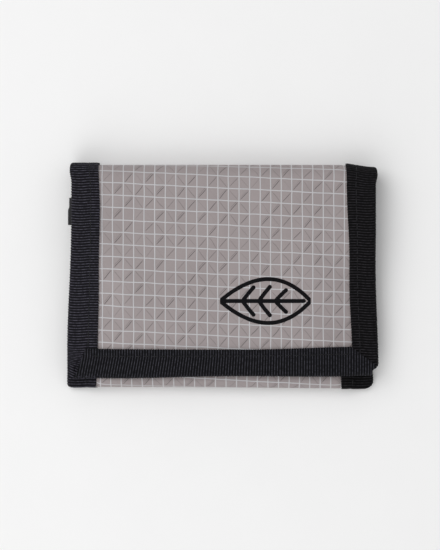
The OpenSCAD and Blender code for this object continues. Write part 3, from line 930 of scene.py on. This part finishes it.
def body_side_tape(right):
    """Edge tape round the body's side: it closes over all the layers, follows the lower fold, and
    past the mouth of the pockets it narrows to the back and its lining, round the spine."""
    s = settings()
    # The tape reaches a little past the cloth's fold and closes over it
    past = 0.3 * MM
    y0 = -HALF_H - past
    along = side_tape_rows(y0)
    path = outer_path(along, y0, SPINE_R, -1)
    y = path[0]
    thin = 2 * TAPE_T + CLOTH_T + LINING_T
    whole = ease((MOUTH_Y + 0.4 * MM - y) / (2 * MM)) * (along < SPINE_Y - y0)

    def face(x):
        return fold_drop(x, y + past) * whole

    def back(x):
        return thin + (arch(x, FRONT_Z, PINCH_Z) + TAPE_T - fold_drop(x, y + past) - thin) * whole

    edge = body_edge(y, right)
    wave = scallop(along)
    front = (49.3 if right else 50.6) * MM + wave
    distance, depth, across = fold_section(edge + wave * whole, 50 * MM + wave, front, face, back,
                                           (15, 9, 16))
    along = sag(along, across, s.side_stitch)
    points = settle_body(on_path(distance, depth, path, 1 if right else -1))
    uv = lay(along, across)
    shape = Shape().sheet(points, s.tape_body, uv, ribs(along, across, s.side_stitch), flip=not right)
    return shape, points, (float(across[:, -1].mean()), path_length(y0, SPINE_R))


def bottom_tape_point(distance, depth, share):
    """Places the flap's lower tape. Its ends are cut on a slant, and it lies over the side tapes
    there."""
    s = settings()
    left = np.interp(distance, *LEFT_END)
    right = np.interp(distance, *RIGHT_END)
    x = left + (right - left) * share
    over = s.tape_body * ramp(np.abs(x), 49, 3.5)
    middle = (TOTAL_T - HOOK_Z) / 2
    depth = depth + over * np.sign(depth - middle) * np.minimum(np.abs(depth - middle) / middle, 1.0)
    return lay(x, -distance, TOTAL_T - depth)


def bottom_tape():
    """Edge tape folded round the flap's free edge."""
    s = settings()
    share = spread(0.0, 1.0, int(2 * FLAP_HALF / s.rib_pitch * RIB_POINTS))
    reach = -FLAP_TAPE_Y + 0.2 * MM - 0.8 * MM * ease((share - 0.6) / 0.4)
    reach = reach + s.bottom_bow * np.sin(share * math.pi)
    wave = scallop(share * 2 * FLAP_HALF)
    edge = -FLAP_Y + s.lower_flare * (1.0 - 2.0 * share) + wave + 0.25 * MM * np.sin(share * 9.0)
    thick = TOTAL_T - HOOK_Z
    distance, depth, across = fold_section(edge, reach + wave, 30.6 * MM + 0 * share, lambda x: 0 * x,
                                           lambda x: thick + 0 * x)
    points = settle_flap(bottom_tape_point(distance, depth, share))
    slant = s.rib_slant * np.maximum(distance - 33 * MM, 0.0) * (1.0 - ease((share - 0.1) / 0.7))
    along = points[..., 0] + slant
    uv = lay(along, across)
    shape = Shape().sheet(points, s.tape_body, uv, ribs(along, across, s.bottom_stitch), flip=True)
    return shape, points, (float(across[:, -1].mean()), 2 * FLAP_HALF)


def cell_pillows(uv):
    """Each ripstop cell swells slightly between its heavy yarns, in cloth coordinates."""
    s = settings()
    u = uv[..., 0] / s.grid_across
    v = (uv[..., 1] + uv[..., 0] * s.grid_slope) / s.grid_along
    swell = np.sqrt(np.abs(np.sin(math.pi * u) * np.sin(math.pi * v)))
    return s.cell_swell * (swell - 0.5)


def cloth_uv(x, length):
    """Cloth coordinates, so that the grid runs on from piece to piece across the spine."""
    s = settings()
    return lay(x - s.grid_start_x, length - s.grid_start_y)


def flap_cloth():
    """Outer cloth of the flap, up to the middle of the spine."""
    s = settings()
    y0 = FLAP_Y + 2.2 * MM
    length = path_length(y0, CLOTH_R)
    half = s.flap_cloth_half
    x = spread(-half, half, int(2 * half / s.cloth_step))
    run = np.linspace(0, length, int(length / s.cloth_step))[None, :]
    y, z, _, _ = outer_path(run, y0, CLOTH_R, 1)
    points = settle_flap(lay(x, y, z))
    uv = cloth_uv(x, run - length)
    return Shape().sheet(points, CLOTH_BODY, uv, cell_pillows(uv)), (2 * half, length)


def body_cloth():
    """Outer cloth of the body in one run: from the middle of the spine down the back, round the
    lower fold, and up the front as far as the zip."""
    s = settings()
    half = BODY_HALF - 2 * MM
    x = spread(-half, half, int(2 * half / s.cloth_step / 1.3))
    r = fold_radius(x)
    low_y = -HALF_H + r
    turn = np.linspace(QUARTER, 0, 12)[None, :-1]
    down = np.linspace(0, 1, 80)[None, :-1]
    bend = np.linspace(0, math.pi, 17)[None, :-1]
    up = np.linspace(0, 1, 84)[None, :]
    y = np.concatenate([SPINE_Y + CLOTH_R * np.sin(turn) + 0 * x, SPINE_Y + (low_y - SPINE_Y) * down,
                        low_y - r * np.sin(bend), low_y + (ZIP_LOW - low_y) * up], axis=1)
    z = np.concatenate([SPINE_R - CLOTH_R * np.cos(turn) + 0 * x, TAPE_T + 0 * (x + down),
                        TAPE_T + r - r * np.cos(bend), arch(x, FRONT_Z, PINCH_Z) + 0 * up], axis=1)
    length = np.concatenate([0 * x, np.cumsum(np.hypot(np.diff(y, axis=1), np.diff(z, axis=1)), axis=1)],
                            axis=1)
    points = settle_body(lay(x, y, z))
    uv = cloth_uv(x, length)
    return Shape().sheet(points, CLOTH_BODY, uv, cell_pillows(uv)), (2 * half, float(length.max()))


def path_lining(side, y0, half):
    """Lining that follows the outer cloth on its inside, up to the middle of the spine."""
    length = path_length(y0, LINING_R)
    x = spread(-half, half, 90)
    run = np.linspace(0, length, 90)[None, :]
    y, z, _, _ = outer_path(run, y0, LINING_R, side)
    settle = settle_flap if side > 0 else settle_body
    points = settle(lay(x, y, z))
    return Shape().sheet(points, LINING_T, flip=side < 0), (2 * half, length)


def arch_cloth(y0, y1, middle, edge, half, thickness):
    """A layer of the body that lies high over the pockets and comes down at its sides."""
    x = spread(-half, half, int(2 * half / LAYER_STEP))
    # Its upper corners are cut back, so that they end inside the side tapes
    upper = y1 - 2 * MM * ramp(np.abs(x), 49, 2)
    y = y0 + (upper - y0) * np.linspace(0, 1, max(4, int((y1 - y0) / LAYER_STEP)))[None, :]
    points = settle_body(lay(x, y, arch(x, middle, edge)))
    length = float(np.sum(np.hypot(np.diff(x[:, 0]), np.diff(arch(x, middle, edge)[:, 0]))))
    return Shape().sheet(points, thickness, points[..., :2]), (length, y1 - y0)


def mouth_tape():
    """Narrow tape folded over the upper edge of the pocket wall."""
    s = settings()
    half = 49.8 * MM
    x = spread(-half, half, int(2 * half / s.rib_pitch * 6))
    hem = 0.4 * MM
    wave = 0.5 * scallop(x)
    top = -(arch(x, FRONT_Z, PINCH_Z) + hem)
    base = -(arch(x, DIVIDER_Z, TAPE_T + CLOTH_T + LINING_T) - hem)
    distance, depth, across = fold_section(MOUTH_Y + hem + wave, MOUTH_Y - 2.6 * MM + wave,
                                           MOUTH_Y - 2.6 * MM + 0 * x,
                                           lambda d: top + 0 * d, lambda d: base + 0 * d, (8, 9, 8))
    points = settle_body(lay(x, distance, -depth))
    uv = lay(x, across)
    return Shape().sheet(points, 0.3 * MM, uv, 0.6 * ribs(x, across, 1.0 * MM))


def card_slot(index):
    """One card slot layer, seen from inside the flap, with a turned hem at its mouth."""
    half = BODY_HALF - 3.2 * MM
    mouth = SLOT_MOUTHS[index]
    y0 = FLAP_Y + 2.4 * MM
    x = spread(-half, half, 100)
    y = np.linspace(y0, mouth, int((mouth - y0) / (0.8 * MM)))[None, :]
    z = LINING_Z - (index + 1) * SLOT_T
    points = settle_flap(lay(x, y, z))
    hem = ease((y - mouth + 4.2 * MM) / (0.8 * MM)) * 0.12 * MM
    ripple = 0.04 * MM * np.sin(x * 130.0 + index) * ease((y - y0) / (20 * MM))
    shape = Shape().sheet(points, SLOT_T * 0.9, points[..., :2], hem + ripple, flip=True)
    return shape, points, (2 * half, mouth - y0)


def band(x0, x1, y0, y1, z, thickness, settle, flip=False):
    """A flat woven band with rounded long edges."""
    x = spread(x0, x1, 60)
    y = np.linspace(y0, y1, 14)[None, :]
    points = settle(lay(x, y, z))
    edge = np.minimum(y - y0, y1 - y)
    relief = (ease(edge / (0.6 * MM)) - 1.0) * thickness * 0.4 + 0 * x
    return Shape().sheet(points, thickness, points[..., :2], relief, flip=flip), points


def hook_field(x0, x1, y0, y1, z, top):
    """Rows of little hooks: each is a bristle that rises, bends over and points back."""
    xs, ys = np.meshgrid(np.arange(x0 + MM, x1 - 0.6 * MM, 1.35 * MM),
                         np.arange(y0 + MM, y1 - 0.6 * MM, 1.1 * MM), indexing="ij")
    xs, ys = xs.ravel(), ys.ravel()
    share = np.array([0.0, 0.35, 0.62, 0.82, 0.95, 1.0])
    turn = share * math.pi * 1.25
    reach = 0.26 * MM
    height = z - (z - top) * np.minimum(1.0, np.sin(np.minimum(turn, math.pi * 0.62)) * 1.02)
    height = height + np.maximum(0.0, turn - math.pi * 0.62) * 0.16 * MM
    lean = reach * (1 - np.cos(turn))
    way = np.where((np.arange(len(xs)) % 2) == 0, 1.0, -1.0)
    centre = lay(xs[:, None], ys[:, None] + way[:, None] * lean, height)
    ahead = np.gradient(centre, axis=1)
    ahead /= np.linalg.norm(ahead, axis=2, keepdims=True)
    side = np.broadcast_to(np.array([1.0, 0.0, 0.0]), centre.shape)
    size = np.broadcast_to(np.array([1.2, 1.0, 0.95, 0.9, 0.7, 0.0]) * 0.11 * MM, centre.shape[:2])
    return settle_flap(centre), size, side, np.cross(ahead, side)


def loop_field(x0, x1, y0, y1, z, top, count):
    """A brushed field of small arched fibres that stand up from the band and lie at all angles."""
    luck = np.random.default_rng(11)
    xs = luck.uniform(x0 + 0.8 * MM, x1 - 0.8 * MM, count)
    ys = luck.uniform(y0 + 0.8 * MM, y1 - 0.8 * MM, count)
    way = luck.uniform(0, 2 * math.pi, count)
    span = luck.uniform(0.5, 1.3, count) * MM
    tall = luck.uniform(0.5, 1.0, count) * (top - z)
    share = np.linspace(0, 1, 6)
    run = (share[None] - 0.5) * span[:, None]
    bow = np.sin(math.pi * share)[None] * tall[:, None]
    centre = lay(xs[:, None] + run * np.cos(way)[:, None], ys[:, None] + run * np.sin(way)[:, None],
                 z + bow)
    ahead = np.gradient(centre, axis=1)
    ahead /= np.linalg.norm(ahead, axis=2, keepdims=True)
    side = np.stack([-np.sin(way), np.cos(way), 0 * way], axis=1)[:, None, :] + 0 * centre
    size = np.broadcast_to(np.array([0.0, 1.0, 1.0, 1.0, 1.0, 0.0]) * 0.07 * MM, centre.shape[:2])
    return settle_body(centre), size, side, np.cross(ahead, side)


def stroke(line, width, height, thickness):
    """A printed stroke along a line of (x, y): rounded ends, and a slightly crowned top that
    follows the flap's cloth."""
    step = np.linalg.norm(np.diff(line, axis=0), axis=1)
    length = np.concatenate([[0.0], np.cumsum(step)])
    tangent = np.gradient(line, axis=0)
    tangent /= np.linalg.norm(tangent, axis=1, keepdims=True)
    side = np.stack([-tangent[:, 1], tangent[:, 0]], axis=1)
    half = width / 2
    near = np.clip(np.minimum(length, length[-1] - length) / half, 0.0, 1.0)
    reach = half * np.sqrt(np.maximum(1.0 - (1.0 - near) ** 2, 0.004))
    offset = np.linspace(1, -1, 9)[None, :]
    place = line[:, None, :] + side[:, None, :] * (reach[:, None] * offset)[..., None]
    z = TOTAL_T - TAPE_T + height + thickness * (1 - offset ** 4) * (0.3 + 0.7 * near[:, None])
    return settle_flap(lay(place[..., 0], place[..., 1], z))


def leaf_lines():
    """A generic leaf: two arcs that meet in points, a midrib and slanting side veins."""
    s = settings()
    half, tall = s.leaf_length / 2, s.leaf_height / 2
    u = np.linspace(-1, 1, 70)
    bow = tall * (1 - u ** 2) * (1 + 0.12 * u)
    lines = [np.stack([half * u, bow], axis=1), np.stack([half * u, -bow], axis=1),
             np.stack([half * np.linspace(-1, 0.9, 50), 0 * np.linspace(0, 1, 50)], axis=1)]
    for base in (-0.5, -0.14, 0.22):
        for way in (1, -1):
            t = np.linspace(0, 1, 24)
            x = half * (base + 0.27 * t)
            y = way * tall * 0.74 * (1 - (base + 0.27) ** 2) * (t ** 0.9)
            lines.append(np.stack([x, y], axis=1))
    centre = np.array([s.leaf_x, s.leaf_y])
    return [line + centre for line in lines]


def key_loop_points():
    """Webbing from its root out to the eye, round it and back: a half circle round the eye, and
    two legs that close together towards the root."""
    eye = next(m for m in frame["record"]["mounts"] if m["name"] == "key_eye")
    root = next(j for j in frame["record"]["behaviour"]["joints"] if j["child"] == "key_loop")["pos_m"]
    centre = np.array([eye["pos_m"][X], eye["pos_m"][Z]])
    far = np.array([root[X], root[Z]]) - centre
    reach = float(np.hypot(*far))
    along = far / reach
    up = np.array([-along[1], along[0]])
    thick = 0.8 * MM
    ring = eye["dims"]["r_mm"] * MM + thick
    a = np.linspace(reach, 0, 24)[:-1]
    height = thick + (ring - thick) * ramp(-a, -4.5, 4.5)
    turn = np.linspace(QUARTER, 3 * QUARTER, 20)
    across = np.concatenate([a, ring * np.cos(turn), a[::-1]])
    rise_up = np.concatenate([height, ring * np.sin(turn), -height[::-1]])
    plane = centre + across[:, None] * along + rise_up[:, None] * up
    y = np.linspace(low("key_loop", Y), high("key_loop", Y), 18)
    # The tip is worn back a little, more along its upper half
    wear = (0.25 + 0.5 * ease((y - eye["pos_m"][Y]) / (2 * MM))) * MM
    points = lay(plane[:, :1] + wear * ease(1.2 - across[:, None] / reach), y, plane[:, 1:])
    step = np.concatenate([[0.0], np.cumsum(np.hypot(*np.diff(plane, axis=0).T))])[:, None]
    return points, thick * 0.98, lay(step, y)


# ---- Pieces ----

def fold_ends(side):
    """The bodies on either side of a fold line and two points near it, handed on as a piece's bend:
    side is -1 at the body's, 1 at the flap's."""
    low_z, rise_z = SPINE_R - CLOTH_R, 2 * MM
    if side < 0:
        return "base", "spine", Vector((0, SPINE_Y, low_z)), Vector((0, SPINE_Y + CLOTH_R, low_z + rise_z))
    high_z = SPINE_R + CLOTH_R
    return "spine", "cover", Vector((0, SPINE_Y + CLOTH_R, high_z - rise_z)), Vector((0, SPINE_Y, high_z))


def tube_piece(parts, name):
    """One object from several rows of tubes, each (centre, size, side, up)."""
    shape = Shape()
    for part in parts:
        shape.tubes(*part)
    return close_poles(shape.build(name))


def sewing_thread():
    return fibre_material("sewing_thread", settings().thread_colour)


def row_path(points, index):
    """One line of a grid of points, with the grid's normals along it."""
    return points[:, index], grid_normals(points)[:, index]


def sew(name, points, columns, slot, pitch, radius, way=1, rows=slice(None), **place):
    """Rows of stitches along some columns of a grid, as one finished piece."""
    seams = Shape()
    for column in columns:
        path, normal = row_path(points, column)
        stitches(seams, path[rows], normal[rows] * way, pitch, radius)
    return finish_piece(close_poles(seams.build(name)), sewing_thread(), slot, **place)


class WALLET_OT_outer_cloth(bpy.types.Operator):
    """Make the ripstop cloth of the flap, the back, the lower fold and the front"""
    bl_idname = "wallet.outer_cloth"
    bl_label = "Outer Cloth"

    def execute(self, context):
        cloth = ripstop_material()
        shape, flat = flap_cloth()
        flap = finish_piece(shape.build("flap_cloth"), cloth, "ripstop", bend=fold_ends(1),
                            nodes=["flap_panel"])
        shape, flat_body = body_cloth()
        body = finish_piece(shape.build("body_cloth"), cloth, "ripstop", bend=fold_ends(-1),
                            nodes=["back_panel", "bottom_fold", "front_panel", "spine_panel"])
        shape, _ = arch_cloth(ZIP_HIGH, MOUTH_Y, FRONT_Z, PINCH_Z, BODY_HALF - 2 * MM, CLOTH_BODY)
        top = finish_piece(shape.build("zip_top_cloth"), cloth, "ripstop", "base", nodes=["zip_top_panel"])
        return {"FINISHED"}


class WALLET_OT_linings(bpy.types.Operator):
    """Make the linings of the flap and the back, and the wall between the two pockets"""
    bl_idname = "wallet.linings"
    bl_label = "Linings"

    def execute(self, context):
        s = settings()
        cloth = weave_material("lining_cloth", s.lining_colour, 0.00032)
        half = BODY_HALF - 2.4 * MM
        shape, flat = path_lining(1, FLAP_Y + 2.4 * MM, half)
        flap = finish_piece(shape.build("flap_lining_cloth"), cloth, "lining", bend=fold_ends(1),
                            nodes=["flap_lining"])
        shape, flat_back = path_lining(-1, fold_floor(), half)
        back = finish_piece(shape.build("back_lining_cloth"), cloth, "lining", bend=fold_ends(-1),
                            nodes=["back_lining", "spine_lining"])
        edge = PINCH_Z - CLOTH_T
        shape, flat_wall = arch_cloth(fold_floor(), MOUTH_Y, DIVIDER_Z + LINING_T, edge, half, LINING_T)
        wall = finish_piece(shape.build("pocket_wall"), cloth, "lining", "base", nodes=["pocket_divider"])
        return {"FINISHED"}


class WALLET_OT_flap_tapes(bpy.types.Operator):
    """Make the woven tape round the flap's three free edges, with its stitching"""
    bl_idname = "wallet.flap_tapes"
    bl_label = "Flap Tapes"

    def execute(self, context):
        s = settings()
        # Painted light: each side's tape is the same black tape in a tone of its own, lighter on the left
        # and darker on the right.
        for side, tone in (("left", s.left_tape_colour), ("right", s.right_tape_colour)):
            shape, points, flat = flap_side_tape(side == "right")
            tape = finish_piece(shape.build(f"flap_tape_{side}"), tape_material(f"{side}_tape", tone),
                                "edge_tape",
                                bend=fold_ends(1), nodes=[f"flap_binding_{side}"])
            seam = sew(f"flap_stitches_{side}", points, (5, -6), "edge_tape", s.stitch_pitch,
                       s.thread_radius,
                       -1 if side == "right" else 1, slice(14, None), bend=fold_ends(1))
        # The lower tape's tone is painted light too.
        shape, points, flat = bottom_tape()
        tape = finish_piece(shape.build("flap_tape_bottom"),
                            tape_material("lower_tape", s.bottom_tape_colour),
                            "edge_tape", "cover", nodes=["flap_binding_bottom"])
        seam = sew("flap_stitches_bottom", points, (4, -5), "edge_tape", s.stitch_pitch, s.thread_radius,
                   -1, slice(30, -30), body="cover")
        return {"FINISHED"}


class WALLET_OT_body_tapes(bpy.types.Operator):
    """Make the woven tape round the body's sides and its half of the spine, with its stitching"""
    bl_idname = "wallet.body_tapes"
    bl_label = "Body Tapes"

    def execute(self, context):
        s = settings()
        # Painted light: each side's tape is the same black tape in a tone of its own, lighter on the left
        # and darker on the right.
        for side, tone in (("left", s.left_tape_colour), ("right", s.right_tape_colour)):
            shape, points, flat = body_side_tape(side == "right")
            tape = finish_piece(shape.build(f"body_tape_{side}"), tape_material(f"{side}_tape", tone),
                                "edge_tape",
                                bend=fold_ends(-1), nodes=[f"base_binding_{side}", f"spine_binding_{side}"])
            seam = sew(f"body_stitches_{side}", points, (5, -7), "edge_tape", s.stitch_pitch,
                       s.thread_radius,
                       1 if side == "right" else -1, slice(8, None), bend=fold_ends(-1))
        # The mouth tape takes the lower tape's painted-light tone.
        finish_piece(mouth_tape().build("mouth_tape"), tape_material("lower_tape", s.bottom_tape_colour),
                     "edge_tape",
                     "base", nodes=["mouth_binding"])
        return {"FINISHED"}


class WALLET_OT_card_slots(bpy.types.Operator):
    """Make the three card slots inside the flap, each with a turned and sewn hem"""
    bl_idname = "wallet.card_slots"
    bl_label = "Card Slots"

    def execute(self, context):
        s = settings()
        cloth = weave_material("slot_cloth", [c * 1.15 for c in s.lining_colour], 0.00036)
        parts = [card_slot(index) for index in range(3)]
        for index, (shape, points, flat) in enumerate(parts):
            slot = finish_piece(shape.build(f"slot_{index + 1}"), cloth, "lining", "cover",
                                nodes=[f"card_slot_{index + 1}"])
            seam = sew(f"slot_stitches_{index + 1}", points, (-5,), "lining", 2.6 * MM, FINE_THREAD, -1,
                       body="cover")
        return {"FINISHED"}


class WALLET_OT_fasteners(bpy.types.Operator):
    """Make the hook strip under the flap and the loop strip on the front"""
    bl_idname = "wallet.fasteners"
    bl_label = "Hook and Loop"

    def execute(self, context):
        s = settings()
        for name, node, body, settle in (("hook", "hook_strip", "cover", settle_flap),
                                         ("loop", "loop_strip", "base", settle_body)):
            x0, x1, y0, y1 = (low(node, X), high(node, X), low(node, Y), high(node, Y))
            hook = name == "hook"
            root = HOOK_Z + STRIP_T if hook else FRONT_Z
            way = -1 if hook else 1
            base_z = root + way * 0.32 * MM
            top = root + way * STRIP_T
            shape, points = band(x0, x1, y0, y1, base_z, 0.32 * MM, settle, flip=hook)
            strip = finish_piece(shape.build(f"{name}_band"),
                                 weave_material("strip_cloth", (0.014, 0.014, 0.016), 0.0005),
                                 f"{name}_tape", body, nodes=[node])
            if hook:
                field = tube_piece([hook_field(x0 + MM, x1 - MM, y0 + MM, y1 - MM, base_z, top)],
                                   "hook_field")
            else:
                field = tube_piece([loop_field(x0, x1, y0, y1, base_z, top, s.fibre_count)], "loop_field")
            finish_piece(field, fibre_material(f"{name}_fibre", (0.012, 0.012, 0.014)), f"{name}_tape",
                         body)
            seam = sew(f"{name}_stitches", points, (1, -2), f"{name}_tape", 2.8 * MM, 0.14 * MM, way,
                       body=body)
        return {"FINISHED"}


class WALLET_OT_zip(bpy.types.Operator):
    """Make the zip's woven tapes and their stitching, and finish its teeth, stops and slider"""
    bl_idname = "wallet.zip"
    bl_label = "Zip"

    def execute(self, context):
        s = settings()
        cloth = weave_material("zip_tape_weave", (0.016, 0.016, 0.018), 0.0003)
        for name, sign in (("lower", -1), ("upper", 1)):
            node = f"zip_tape_{name}"
            inner = high(node, Y) if sign < 0 else low(node, Y)
            outer = low(node, Y) if sign < 0 else high(node, Y)
            x = spread(-ZIP_HALF, ZIP_HALF, 90)
            across = np.linspace(0, 1, 16)[None, :]
            y = inner + (outer - inner) * across if sign > 0 else outer + (inner - outer) * across
            points = settle_body(lay(x, y, high(node, Z) - 0.02 * MM))
            # A cord under the edge that carries the teeth
            cord = 0.25 * MM * hill((y - inner) / (0.8 * MM)) + 0 * x
            shape = Shape().sheet(points, high(node, Z) - low(node, Z) - 0.1 * MM, points[..., :2], cord)
            finish_piece(shape.build(f"zip_cloth_{name}"), cloth, "zip_cloth", "base", nodes=[node])
            edge = (ZIP_LOW - 1.2 * MM) if sign < 0 else (ZIP_HIGH + 1.2 * MM)
            run = np.linspace(-50 * MM, 50 * MM, 120)
            lift = arch(run, FRONT_Z, PINCH_Z)
            path = settle_body(np.stack([run, edge + 0 * run, lift + 0 * run], axis=1))
            normal = np.broadcast_to(np.array([0.0, 0.0, 1.0]), path.shape)
            seam = close_poles(stitches(Shape(), path, normal, 2.7 * MM,
                                        FINE_THREAD).build(f"zip_stitches_{name}"))
            finish_piece(seam, sewing_thread(), "edge_tape", "base")
        plastic = cast_material("moulded_teeth", (0.012, 0.012, 0.013), 0.0, 0.42)
        metal = cast_material("plated_metal", s.metal_colour, 1.0, 0.34)
        for node in ("zip_teeth_lower", "zip_teeth_upper"):
            dress(frame["nodes"][node], plastic)
        for node in ("zip_stops", "zip_slider", "zip_puller"):
            dress(frame["nodes"][node], metal)
        return {"FINISHED"}


class WALLET_OT_key_loop(bpy.types.Operator):
    """Make the webbing loop for keys at the left edge"""
    bl_idname = "wallet.key_loop"
    bl_label = "Key Loop"

    def execute(self, context):
        points, thickness, uv = key_loop_points()
        edge = np.minimum(points[..., 1] - low("key_loop", Y), high("key_loop", Y) - points[..., 1])
        relief = 0.12 * MM * (np.sin(uv[..., 0] / (0.9 * MM) * 2 * math.pi) * 0.5 + ease(edge / (0.9 * MM))
                              - 1.0)
        shape = Shape().sheet(points, thickness, uv, relief)
        loop = finish_piece(shape.build("key_webbing"),
                            weave_material("key_webbing_weave", (0.009, 0.009, 0.011), 0.0006, sheen=0.0,
                                           strength=0.6),
                            "webbing", "key_loop", nodes=["key_loop"])
        return {"FINISHED"}


class WALLET_OT_leaf(bpy.types.Operator):
    """Print the leaf outline on the flap"""
    bl_idname = "wallet.leaf"
    bl_label = "Leaf Print"

    def execute(self, context):
        s = settings()
        shape = Shape()
        for line in leaf_lines():
            points = stroke(line, s.leaf_line, 0.02 * MM, 0.1 * MM)
            shape.sheet(points, 0.12 * MM, points[..., :2], flip=True)
        finish_piece(shape.build("leaf_print"), print_material(), "print_ink", "cover", nodes=["emblem"])
        return {"FINISHED"}


class WALLET_OT_stage(bpy.types.Operator):
    """Make the pale floor, two soft lamps on the left and the camera above"""
    bl_idname = "wallet.stage"
    bl_label = "Stage"

    def execute(self, context):
        scene = context.scene
        half = FLOOR_HALF
        mesh = bpy.data.meshes.new("floor")
        mesh.from_pydata([(-half, -half, 0), (half, -half, 0), (half, half, 0), (-half, half, 0)], [],
                         [(0, 1, 2, 3)])
        floor = bpy.data.objects.new("floor", mesh)
        scene.collection.objects.link(floor)
        material, n, shader = start_material("paper_floor", 0.9, 0.1)
        place = n.new("ShaderNodeTexCoord").outputs["Object"]
        n.put(shader.inputs["Base Color"],
              n.mix(n.noise(place, 40.0, 2.0), (0.86, 0.86, 0.86, 1), (0.88, 0.88, 0.88, 1)))
        dress(floor, material)
        world = bpy.data.worlds.new("studio")
        world.use_nodes = True
        world.node_tree.nodes["Background"].inputs["Color"].default_value = (1.0, 1.0, 1.0, 1.0)
        world.node_tree.nodes["Background"].inputs["Strength"].default_value = SKY_STRENGTH
        scene.world = world
        middle = Vector((0, 0, TOTAL_T))
        for name, place, width, power in LAMPS:
            light = bpy.data.lights.new(name, "AREA")
            light.size = width
            light.energy = power
            lamp = bpy.data.objects.new(name, light)
            lamp.location = place
            lamp.rotation_euler = (middle - Vector(place)).to_track_quat("-Z", "Y").to_euler()
            scene.collection.objects.link(lamp)
        camera = bpy.data.cameras.new("camera")
        camera.lens = CAMERA_LENS
        camera.sensor_width = 36.0
        camera.clip_start = 0.01
        camera.dof.use_dof = False
        view = bpy.data.objects.new("camera", camera)
        view.location = CAMERA_PLACE
        scene.collection.objects.link(view)
        scene.camera = view
        scene.view_settings.view_transform = "Standard"
        return {"FINISHED"}


# ---- Sidebar and registration ----

OPERATORS = (
    WALLET_OT_outer_cloth, WALLET_OT_linings, WALLET_OT_flap_tapes, WALLET_OT_body_tapes,
    WALLET_OT_card_slots, WALLET_OT_fasteners, WALLET_OT_zip, WALLET_OT_key_loop,
    WALLET_OT_leaf, WALLET_OT_stage,
)


class WALLET_PT_sidebar(bpy.types.Panel):
    """Lists the wallet's pieces and its sizes and colours"""
    bl_idname = "WALLET_PT_sidebar"
    bl_label = "Fabric Wallet"
    bl_space_type = "VIEW_3D"
    bl_region_type = "UI"
    bl_category = "Wallet"

    def draw(self, context):
        for operator in OPERATORS:
            self.layout.operator(operator.bl_idname)
        box = self.layout.box()
        for name in WALLET_PG_settings.__annotations__:
            box.prop(context.scene.wallet_settings, name)


CLASSES = (WALLET_PG_settings, *OPERATORS, WALLET_PT_sidebar)


def register():
    for item in CLASSES:
        bpy.utils.register_class(item)
    bpy.types.Scene.wallet_settings = PointerProperty(type=WALLET_PG_settings)


def unregister():
    del bpy.types.Scene.wallet_settings
    for item in reversed(CLASSES):
        bpy.utils.unregister_class(item)


def main():
    register()
    for operator in OPERATORS:
        group, name = operator.bl_idname.split(".")
        getattr(getattr(bpy.ops, group), name)()


if __name__ == "__main__":
    main()
